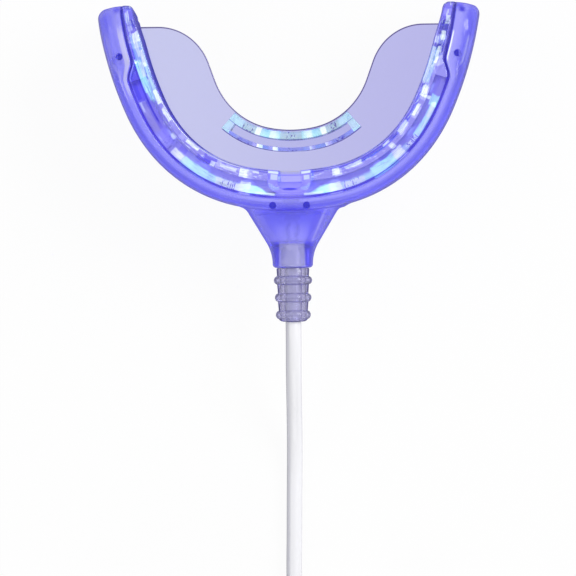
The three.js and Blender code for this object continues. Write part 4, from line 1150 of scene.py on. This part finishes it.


# %% [markdown]
# ## The violet shells
#
# The shells are clear violet plastic. Their paleness towards the inner edge and in the stem's middle is a
# painted highlight, and the darker sides of the stem are painted shade. Dark lines of painted shade stand
# where a surface turns away: at the outline, at the tips, in the pins' recesses and in the gap beside the
# wall. A traced model shows some of these lines by itself, but weaker than the photograph, so each is laid
# over the colour as a layer. A streak, a glint, a pale edge on the left arm and crescents in the recesses
# are painted highlights. What the strip sends through the plastic is a faint painted glow of its own,
# stronger beside the strip.

# %% Violet plastic of the shells
violet, tree, shader = clear_plastic(
    "violet_plastic", (0.3, 0.29, 1.0), (0.2, 0.16, 0.95), 6.0, roughness=0.17, spread=0.06,
    Transmission_Weight=0.72, Emission_Color=(0.05, 0.045, 1.0), Emission_Strength=0.1,
)
along, inset, share, aside, in_mark = placed(tree, "along", "inset", "share", "aside", "mark")
beside, to_side = abs(along), abs(aside)
collar = inset.fade(-5.4, -6.4)
outline = inset.near(0.0, 0.25, 0.25) * beside.fade(9.0, 11.0)
glint = share.near(0.925, 0.016, 0.02) * along.near(50.3, 2.6, 0.8)
pale_edge = share.near(0.84, 0.06, 0.08) * along.near(-48.0, 5.0, 3.0)
dark_gap = beside.fade(38.0, 46.0).calc("SUBTRACT", along.near(-41.0, 5.0, 2.0), clamp=True)
crescent = in_mark.fade(0.4, 0.5) * in_mark.fade(0.88, 0.72)

# Painted highlight: inner edge, stem's middle and its light line, streak, glint, crescents, pale edge.
# Painted shade: stem's sides, line and outline, faces turned away, outline, tips, gap and recesses.
feed(shader.inputs["Base Color"], layered((0.29, 0.28, 0.93), {
    "inner edge": (share.fade(0.35, 0.8), (0.72, 0.71, 1.0)),
    "stem's middle": (inset.fade(-0.5, -5.0) * beside.fade(6.0, 1.5), (0.6, 0.59, 1.0)),
    "stem's sides": (to_side.fade(0.35, 0.85) * 0.8, (0.24, 0.22, 0.95)),
    "painted shade line in the stem": (aside.near(0.62, 0.06, 0.04) * 0.6, (0.2, 0.17, 0.92)),
    "painted highlight line in the stem": (use(soft_line, aside, 0.76, 0.03) * 0.7, (0.8, 0.78, 1.0)),
    "stem's outline": (to_side.fade(0.93, 0.98), (0.1, 0.08, 0.5)),
    "collar": (collar, (0.1, 0.085, 0.72)),
    "neck in the collar": (collar * beside.fade(2.3, 1.9), (0.8, 0.8, 0.92)),
    "turned away": (grazing(tree, 0.4, 0.92), (0.16, 0.13, 0.72)),
    "outline": (outline, (0.08, 0.06, 0.42)),
    "tips": (beside.fade(ARCH - 2.2, ARCH - 0.6) * inset.near(3.9, 0.35, 0.7), (0.14, 0.11, 0.9)),
    # a dark spot on the right tip
    "dark spot on the right tip": (along.near(57.95, 0.2, 0.7) * inset.near(3.35, 0.2, 0.7), (0.03, 0.02, 0.6)),
    "streak": (share.near(0.9, 0.03, 0.03) * beside.near(48.0, 3.0, 1.5), (0.85, 0.86, 1.0)),
    "glint": (glint, (0.95, 0.96, 1.0)),
    "gap": (share.fade(0.965, 0.99), tint(dark_gap, (0.34, 0.3, 0.92), (0.1, 0.08, 0.55))),
    "recesses": (in_mark.fade(0.1, 0.3), (0.06, 0.05, 0.5)),
    "crescents": (crescent * beside.fade(20.0, 21.0), (0.75, 0.74, 1.0)),
    "pale edge": (pale_edge * 0.6, (0.85, 0.85, 1.0)),
}))


def gap_light(beside):
    """How much of the strip's light fills the gap between the shells and the wall."""
    return beside.fade(30.0, 16.0) | beside.fade(47.0, 43.0) * 0.6


# Painted glow: faint all over, weaker at the outline, stronger in the gap, bright on the glint and the pale
# edge.
feed(shader.inputs["Emission Color"], layered((0.05, 0.045, 0.85), {
    "outline": (outline, (0.05, 0.045, 0.2)),
    "gap": (share.fade(0.93, 0.97) * gap_light(beside), (0.45, 0.38, 1.8)),
    "glint": (glint, (4.4, 4.8, 1.2)),
    "pale edge": (pale_edge, (1.8, 1.8, 1.0)),
}))
duller(shader, grazing(tree, 0.55, 0.92), 0.5)
coat(violet, upper.name, lower.name)

# %% [markdown]
# ## The lights in the clear wall
#
# The lights shine into a block with many moulded facets, so what is seen is not the lights but broken
# reflections of them. In the photograph a white block stands at about 9, 25 and 38 mm from the middle
# on both sides, a cyan stretch beside each and small dark details beyond. These reflections are painted
# as glow on the chamber's ceiling, next to the rim. Slimmer painted glints run along the top of the wall.
# Both sets differ between left and right, so they are placed one by one.

# %% Where the lights break on the light wall
# each patch: place along the wall, depth in it, half length, half depth (mm) and strength
STRIP_WHITE = [
    (-9.5, 3.8, 1.0, 1.0, 1.0), (-13.2, 3.5, 2.6, 0.75, 0.85), (-25.9, 3.5, 1.3, 0.85, 1.0),
    (-30.4, 3.25, 0.9, 0.25, 0.8), (-33.0, 3.15, 0.8, 0.2, 0.7), (-38.4, 3.35, 1.1, 0.35, 0.65),
    (9.4, 3.6, 1.2, 0.9, 1.0), (13.6, 3.5, 2.2, 0.7, 0.85), (25.2, 4.0, 1.2, 0.95, 1.0),
    (29.2, 3.5, 1.8, 0.6, 0.7), (36.9, 3.7, 1.5, 0.5, 0.85), (33.2, 3.5, 1.6, 0.4, 0.55),
]
STRIP_CYAN = [
    (-17.2, 3.5, 1.6, 0.75, 0.85), (-21.2, 3.6, 3.0, 0.85, 1.0), (-17.0, 3.55, 8.5, 0.8, 0.45),
    (17.2, 3.5, 1.6, 0.75, 0.85), (20.9, 3.9, 2.8, 0.95, 1.0), (34.4, 3.65, 3.9, 0.75, 0.95),
    (18.0, 3.6, 10.0, 0.8, 0.45),
]
STRIP_DARK = [
    (-12.9, 3.6, 1.7, 1.0, 1.0), (-29.0, 4.2, 1.2, 1.0, 0.8), (13.2, 3.5, 1.9, 0.9, 1.0),
    (29.0, 3.6, 1.5, 0.9, 1.0),
]
STRIP_DEEP = [
    (-36.0, 4.7, 3.4, 0.2, 0.8), (-41.8, 3.4, 1.6, 0.6, 0.8), (-25.6, 5.1, 0.9, 0.35, 0.9),
    (22.4, 5.2, 1.4, 0.3, 0.6),
]
TOP_WHITE = [
    (-4.9, 3.0, 1.8, 0.17, 0.8), (4.9, 3.0, 1.8, 0.17, 0.8), (-7.3, 6.9, 0.6, 0.2, 0.7),
    (-10.0, 6.4, 0.9, 0.75, 0.95), (-14.0, 6.5, 2.0, 0.28, 0.7), (-17.8, 6.1, 0.4, 0.4, 0.8),
    (-24.4, 6.9, 1.7, 0.2, 1.0), (-29.2, 5.6, 0.6, 0.3, 0.5), (-34.3, 6.9, 1.7, 0.28, 0.95),
    (-38.7, 6.9, 1.4, 0.35, 1.0), (-45.4, 6.2, 1.4, 0.25, 0.7), (-47.6, 6.9, 1.6, 0.25, 0.9),
    (-50.0, 6.4, 1.6, 0.28, 0.5), (-52.2, 6.6, 0.9, 0.55, 0.95), (-56.6, 5.7, 1.0, 0.3, 0.6),
    (-54.8, 5.9, 0.9, 0.35, 0.4),
    (10.3, 6.4, 0.8, 0.55, 0.85), (14.8, 6.6, 2.0, 0.25, 0.75), (24.4, 6.8, 0.9, 0.12, 0.8),
    (25.2, 5.7, 0.5, 0.5, 0.7), (30.2, 6.6, 1.6, 0.35, 0.75), (35.3, 6.2, 1.5, 0.25, 0.85),
    (38.9, 5.8, 0.25, 1.0, 0.9), (40.2, 6.3, 0.7, 0.5, 0.95), (43.9, 7.0, 2.4, 0.22, 0.7),
    (47.8, 6.2, 1.8, 0.2, 0.95), (47.6, 7.0, 1.4, 0.12, 0.6), (50.8, 7.0, 0.6, 0.2, 0.9),
    (51.9, 6.0, 0.7, 0.35, 1.0), (55.3, 5.7, 0.7, 0.35, 0.8),
]
TOP_CYAN = [
    (-44.0, 5.75, 3.4, 0.55, 0.9), (-40.0, 5.9, 1.2, 0.35, 0.6), (-48.6, 6.5, 4.2, 0.9, 0.4),
    (-41.5, 6.6, 3.2, 0.7, 0.3), (45.5, 6.8, 3.6, 0.6, 0.35), (38.8, 3.9, 1.0, 0.7, 0.7),
]
TOP_DEEP = [
    (-20.3, 5.9, 1.7, 0.4, 0.9), (-49.4, 5.35, 1.6, 0.35, 0.95), (-42.2, 4.1, 2.7, 0.85, 1.0),
    (-46.3, 4.3, 2.0, 0.7, 0.8), (-58.4, 5.8, 0.5, 0.9, 1.0), (-57.0, 6.5, 2.4, 0.15, 0.8),
    (58.2, 5.9, 0.8, 0.9, 1.0), (56.5, 6.5, 2.4, 0.15, 0.7), (-54.4, 5.0, 1.4, 0.3, 0.7),
]
SCOOP_WHITE = [
    (-3.6, 7.2, 0.9, 0.15, 0.9), (-3.4, 6.3, 0.55, 0.45, 0.6), (3.6, 7.2, 0.9, 0.15, 0.9),
    (3.7, 6.2, 0.5, 0.35, 0.6),
]
tables = (STRIP_WHITE, STRIP_CYAN, STRIP_DARK, STRIP_DEEP, TOP_WHITE, TOP_CYAN, TOP_DEEP, SCOOP_WHITE)
print("patches of light and shade:", sum(len(table) for table in tables))

# %% Clear plastic of the light wall, and where a point of it lies
clear, tree, shader = clear_plastic(
    "clear_wall", (0.78, 0.75, 1.0), (0.12, 0.1, 0.96), 34.0, roughness=0.05, spread=0.03,
    Emission_Strength=1.0,
)
along, inset, share = placed(tree, "along", "inset", "share")
level, away = height(tree), abs(along)
wander = speckle(along, inset, 1.0, 0.9) - 0.5
shaken, shifted = wander.scaled(1.1, along), wander.scaled(0.35, inset)  # so that no patch is quite straight
in_chamber = level.fade(CHAMBER_HALF + 0.3, CHAMBER_HALF + 0.1)
on_tip = away.fade(ARCH - 5.0, ARCH - 4.0) * level.fade(4.0, 6.0)
on_top = level.fade(HALF_HEIGHT - 0.2, HALF_HEIGHT - 0.1) | on_tip
above_floor = level.fade(SCOOP_HEIGHT - 0.4, SCOOP_HEIGHT - 0.1)
by_scoop = away.fade(5.0, 4.4)
print("nodes that say where a point lies:", len(tree.nodes))


def patches(along, inset, places):
    return strongest([use(patch, along, inset, *place) for place in places])


def broken(strip, top):
    """Patches on the chamber's ceiling and on the wall's top."""
    return patches(shaken, shifted, strip) * in_chamber | patches(shaken, shifted, top) * on_top


# %% What glows in the wall
wedge = (shifted + away.fade(3.2, 7.4).scaled(-1.3, -3.05)).fade(0.18, -0.12)
wedge = wedge * (away.fade(2.6, 3.3) * away.fade(10.5, 8.5)) * on_top.scaled(-0.35, 0.95)
small = speckle(along * 0.5, inset * 3.2, 3.0)
scattered = small.fade(0.6, 0.66) * inset.near(6.4, 0.8, 0.2) * on_top * away.fade(4.2, 5.0)
fibres = speckle(along * 0.4, inset * 7.0, 2.0).fade(0.4, 0.52).scaled(0.5, 0.5)
cyan = (broken(STRIP_CYAN, TOP_CYAN) | wedge * (in_chamber | on_top)) * fibres
white = (broken(STRIP_WHITE, TOP_WHITE) | scattered * 0.6) * fibres
bars = speckle(along * 4.2, inset * 0.9, 1.0).fade(0.55, 0.61)
bars = bars * patches(along, inset, STRIP_DARK) * in_chamber
print("nodes in the wall's material so far:", len(tree.nodes))

# %% [markdown]
# The middle of the wall has its own marks: painted shade darkens the scoop's slanted sides, a painted slit
# of shade lies on its floor, and its back edge has a painted highlight. A dark line and a painted thread
# of light run along the left arm.

# %% Marks of the scoop and the left arm
lean = abs(axes(tree, "ShaderNodeNewGeometry", "True Normal")[2])
slanted = lean.fade(0.92, 0.85) * (by_scoop * above_floor) * share.fade(0.05, 0.1)
slit_width = (away * away).scaled(-0.08, 0.24)
slit = away.fade(1.8, 1.5) * use(soft_line, inset, 4.1, slit_width) * (above_floor - on_top)
by_middle = away.fade(2.3, 2.1) * level.fade(SCOOP_HEIGHT + 0.2, SCOOP_HEIGHT + 0.1) * above_floor
seam = use(soft_line, inset, 5.0, 0.2) * along.near(-41.0, 6.5, 2.0) * on_top
thread = use(soft_line, inset, 7.32, 0.1) * along.near(-25.0, 13.0, 3.0)
by_gap = share.fade(0.07, 0.03) * gap_light(away)
print("nodes with the marks:", len(tree.nodes))

# %% Glow of the clear wall
feed(shader.inputs["Emission Color"], layered(BLACK, {
    "cyan": (cyan, (0.27, 0.71, 0.37)),
    "white": (white, (0.58, 0.7, 0.4)),
    "bars": (bars, BLACK),
    "scoop's sides": (slanted, (0.2, 0.18, 0.6)),
    "scoop's floor": (by_middle, (0.03, 0.035, 0.3)),
    "lights in the scoop": (patches(along, inset, SCOOP_WHITE) * above_floor, (0.7, 0.85, 0.6)),
    "back edge": (inset.fade(6.9, 7.1) * away.fade(2.4, 2.2), (0.14, 0.15, 0.0)),
    "thread": (thread * on_top, (0.3, 0.34, 0.2)),
    "gap": (by_gap.calc("SUBTRACT", white | cyan, clamp=True), (0.04, 0.03, 0.14)),
    "slit and seam": (slit | seam, (0.0, 0.0, 0.12)),
}))

# %% [markdown]
# Seen from above, the inner face stands edge on, and painted shade makes it deep violet. From behind it is
# looked through, and there it must stay clear. Whether a ray comes straight from the camera onto a face
# that it meets head on is known in the material, so the painted shade is left out for such rays.

# %% Colour of the clear wall
directly = Mask(add(tree, "ShaderNodeLightPath").outputs["Is Camera Ray"])
edge_on = grazing(tree, 0.45, 0.75)
inner_face = share.fade(0.86, 0.9) * away.fade(2.4, 4.6)
side_face = lean.fade(0.5, 0.3) * (inner_face | away.fade(ARCH - 8.0, ARCH - 4.0)) * (directly * edge_on)
front_face = share.fade(0.04, 0.01) * by_scoop.scaled(-0.7, 1.0)
# Painted shade: faces turned away, the front, inner and side faces, the scoop's sides and the slit. The
# thread is a painted highlight.
feed(shader.inputs["Base Color"], layered((0.74, 0.71, 1.0), {
    "behind the strip": (in_chamber * inset.fade(4.1, 4.7), (0.52, 0.48, 1.0)),
    "bars": (bars, (0.2, 0.17, 0.6)),
    "streaks": (small.fade(0.42, 0.36) * on_top * 0.45, (0.3, 0.26, 0.8)),
    "deep patches": (broken(STRIP_DEEP, TOP_DEEP), (0.22, 0.17, 0.95)),
    "tips": (away.fade(ARCH - 8.0, ARCH - 2.0) * 0.95, (0.25, 0.2, 0.95)),
    "turned away": (grazing(tree, 0.6, 0.95), (0.2, 0.16, 0.75)),
    "front face": (front_face, tint(away.fade(38.0, 46.0), (0.4, 0.36, 0.95), (0.12, 0.1, 0.6))),
    "inner face": (inner_face * ~(directly * ~edge_on), (0.12, 0.09, 0.75)),
    "seam": (seam, (0.08, 0.06, 0.5)),
    "thread": (thread, (0.85, 0.84, 1.0)),
    "scoop's sides": (slanted, (0.12, 0.1, 0.5)),
    "slit": (slit, (0.05, 0.03, 0.5)),
    "side face": (side_face, (0.08, 0.06, 0.6)),
}))
feed(shader.inputs["Roughness"], side_face.scaled(0.7, in_chamber.scaled(0.25, 0.05)))
coat(clear, guide.name)

# %% [markdown]
# ## The soft plate
#
# The plate is a milky lavender sheet, a little paler on the left. Its ridge stands in the light: the
# long slope on the inner side and the two ends shine pale cyan with white spots, while painted shade keeps
# the steep face towards the wall dark, with a few painted glints. Dark lines of painted shade run along
# the ridge's crest and foot and the plate's edge. The light could be traced from the lenses through the
# wall, but it would need far more samples than the render has, so the slope glows a little by itself.

# %% Soft plate: where the ridge is lit
soft, tree, shader = clear_plastic(
    "soft_plate", (0.6, 0.6, 0.88), (0.35, 0.36, 0.9), 30.0, roughness=0.07, spread=0.05,
    Emission_Strength=1.0,
)
along, inset = placed(tree, "along", "inset")
level, away = height(tree), abs(along)
raised = level.fade(PLATE_HALF + 0.05, PLATE_HALF + 0.3)
lit = raised * inset.fade(RIDGE_SLOPE + 0.05, RIDGE_SLOPE - 0.05) | raised * away.fade(10.0, 10.3)
streaks = speckle(along * 1.2, inset * 0.5, 3.0).fade(0.4, 0.65)
at_ends = away.near(10.6, 1.3, 0.8)
cyan = away.near(3.6, 1.2, 0.8) | at_ends
white = away.near(5.9, 0.4, 0.3) | away.near(3.2, 0.4, 0.6) * 0.7
spots = away.near(7.8, 0.9, 0.2) | away.near(0.0, 0.7, 0.2)
marks = speckle(along * 3.0, inset * 1.2, 1.0).fade(0.54, 0.6) * spots * lit
steep = raised * inset.fade(RIDGE_TOP, RIDGE_TOP + 0.08) * inset.near(3.9, 0.32, 0.1)
# painted glints on the steep face
flecks = along.near(-5.1, 0.15, 0.25) | along.near(-2.6, 0.1, 0.25)
faint = along.near(3.1, 0.1, 0.25) | along.near(5.6, 0.1, 0.25)
flecks = steep * ((flecks | faint * 0.4) * 0.75)
print("nodes for the ridge's light:", len(tree.nodes))

# %% Soft plate: its colour and glow
lit_colour = layered((0.6, 0.76, 0.9), {
    "streaks": (streaks, (0.72, 0.86, 0.95)),
    "cyan": (cyan, (0.58, 0.82, 0.92)),
    "white": (white, (0.93, 0.97, 1.0)),
})
glow = layered((0.05, 0.12, 0.06), {
    "streaks": (streaks, (0.08, 0.15, 0.08)),
    "cyan": (cyan, tint(at_ends, (0.06, 0.27, 0.2), (0.15, 0.24, 0.23))),
    "white": (white, (0.42, 0.5, 0.3)),
})
to_right = axes(tree, "ShaderNodeTexCoord", "Object")[0].fade(-30 * MM, 30 * MM)
crest = raised * use(soft_line, inset, RIDGE_SLOPE, 0.09)
foot = away.fade(RIDGE_REACH, RIDGE_REACH - 0.2) * use(soft_line, inset, RIDGE_FACE, 0.1)
feed(shader.inputs["Base Color"], layered((0.61, 0.62, 0.885), {
    "right side": (to_right, (0.52, 0.51, 0.86)),
    "steep face": (steep, (0.2, 0.17, 0.8)),
    "flecks": (flecks, WHITE),
    "lit slope": (lit, lit_colour),
    "ridge's edges": (crest | foot | marks, (0.1, 0.08, 0.4)),
    "plate's edge": (use(soft_line, inset, 0.1, 0.13), (0.1, 0.08, 0.26)),
}))
feed(shader.inputs["Emission Color"], layered(BLACK, {
    "lit slope": (lit * ~marks, glow),
    "flecks": (flecks, (0.4, 0.45, 0.4)),
}))
duller(shader, lit, 0.5)
coat(soft, plate.name)

# %% [markdown]
# ## The frosted sleeve
#
# The sleeve is a soft, nearly clear plastic with a dull skin, and the pale cable shows through its
# middle. Painted shade darkens its edges and the folds beside the rings. More absorption would darken the
# whole sleeve, so the shade in the folds is drawn as soft lines.

# %% Strain relief
FOLDS = {-0.5: 0.45, 0.1: 0.3, 0.5: 0.6}  # place in a ring, in ring widths, and how dark

sleeve, tree, shader = clear_plastic(
    "soft_sleeve", (0.7, 0.69, 0.9), (0.4, 0.38, 0.8), 60.0, roughness=0.14, spread=0.08, bump=0.1,
    Transmission_Weight=0.88,
)
x, y, _ = axes(tree, "ShaderNodeTexCoord", "Object")
down = y.scaled(-1 / MM, SHOULDER - BACKWARDS)
on_ring = strongest([down.near(ring, 0.7, 0.15) for ring in RINGS])
edge = Mask(tint(on_ring, grazing(tree, 0.4, 0.66), grazing(tree, 0.78, 0.96)))
layers = {"sides": (abs(x * (1 / MM)).fade(1.4, 1.7), (0.52, 0.5, 0.72)), "edges": (edge, (0.1, 0.08, 0.34))}
for number, ring in enumerate(RINGS, 1):
    for place, strength in FOLDS.items():
        fold = use(soft_line, down, ring + place * RING_WIDTH, 0.14) * strength
        layers[f"fold {number} at {place}"] = (fold, (0.3, 0.28, 0.62))
feed(shader.inputs["Base Color"], layered((0.76, 0.75, 0.93), layers))
duller(shader, grazing(tree, 0.35, 0.7), 0.6)
coat(sleeve, boot.name)

# %% [markdown]
# ## Cable, strip and plug
#
# The cable is a smooth white sheath; painted shade greys it towards its sides and darkens it most on its
# left. What is inside is only seen through violet plastic, so plain colours are enough there. The lights
# glow a little, and a resistor has metal at its two ends.

# %% Cable
cable_white, tree, shader, _ = principled(
    "cable_white", (0.9, 0.9, 0.93), scale=1200.0, roughness=0.32, spread=0.1, bump=0.08, Coat_Weight=0.25
)
turned = axes(tree, "ShaderNodeNewGeometry", "Normal")[0]
feed(shader.inputs["Base Color"], layered((0.9, 0.9, 0.93), {
    "sides": (grazing(tree, 0.45, 0.9), (0.6, 0.6, 0.67)),
    "painted shade on the left": (turned.fade(-0.3, -0.85) * 0.6, (0.5, 0.5, 0.6)),
    "painted shade at the left edge": (turned.fade(-0.86, -0.97), (0.22, 0.22, 0.27)),
}))
coat(cable_white, lead.name, "inner_cable")

# %% Lights, strip, wires and plug
# name of each plain finish: its colour, what else it is given, and the pieces that have it
PLAIN = {
    "lens_light": (
        (0.8, 0.85, 1.0), {"roughness": 0.2, "Emission_Color": (0.7, 0.85, 1.0), "Emission_Strength": 0.7},
        [lenses.name],
    ),
    "light_body": (
        (0.85, 0.84, 1.0), {"roughness": 0.4, "Emission_Color": (0.6, 0.58, 1.0), "Emission_Strength": 0.3},
        [f"led_{n:02d}" for n in range(1, 17)],
    ),
    "board_white": ((0.7, 0.74, 0.95), {"scale": 1500.0, "roughness": 0.5, "bump": 0.1}, ["led_board"]),
    "connector_white": ((0.62, 0.6, 0.95), {"roughness": 0.45}, ["wire_connector"]),
    "wire_pale": ((0.55, 0.52, 0.95), {"roughness": 0.4}, ["lead_wire_positive", "lead_wire_negative"]),
    "plug_steel": (
        (0.62, 0.63, 0.65), {"scale": 2500.0, "roughness": 0.25, "spread": 0.15, "Metallic": 1.0},
        ["plug_shell"],
    ),
    "contact_gold": (
        (0.78, 0.56, 0.2), {"roughness": 0.25, "Metallic": 1.0}, [f"plug_contact_{n}" for n in range(1, 5)],
    ),
    "plug_white": (
        (0.84, 0.84, 0.86), {"scale": 1600.0, "roughness": 0.42, "bump": 0.12}, ["plug_cover", "plug_tongue"],
    ),
    "strap_grey": ((0.55, 0.55, 0.6), {"scale": 4000.0, "roughness": 0.8, "bump": 0.9}, ["coil_tie"]),
}
for name, (colour, finish, pieces) in PLAIN.items():
    coat(principled(name, colour, **finish)[0], *pieces)

# %% Resistors
BODY_DARK = (0.14, 0.13, 0.2)
resistor_look, tree, shader, _ = principled("resistor", BODY_DARK, roughness=0.35)
metal_end = abs(axes(tree, "ShaderNodeTexCoord", "Generated")[0] - 0.5).fade(0.32, 0.34)
feed(shader.inputs["Base Color"], tint(metal_end, BODY_DARK, (0.7, 0.7, 0.72)))
feed(shader.inputs["Metallic"], metal_end)
coat(resistor_look, *[f"resistor_{n}" for n in range(1, 5)])

# %% [markdown] ## Finish Colours are shown as they are written, and light may pass through the clear
# plastic many times.

bpy.context.scene.view_settings.view_transform = "Standard"
cycles = bpy.context.scene.cycles
cycles.max_bounces = 24
cycles.transmission_bounces = 24
cycles.glossy_bounces = 8
cycles.transparent_max_bounces = 16
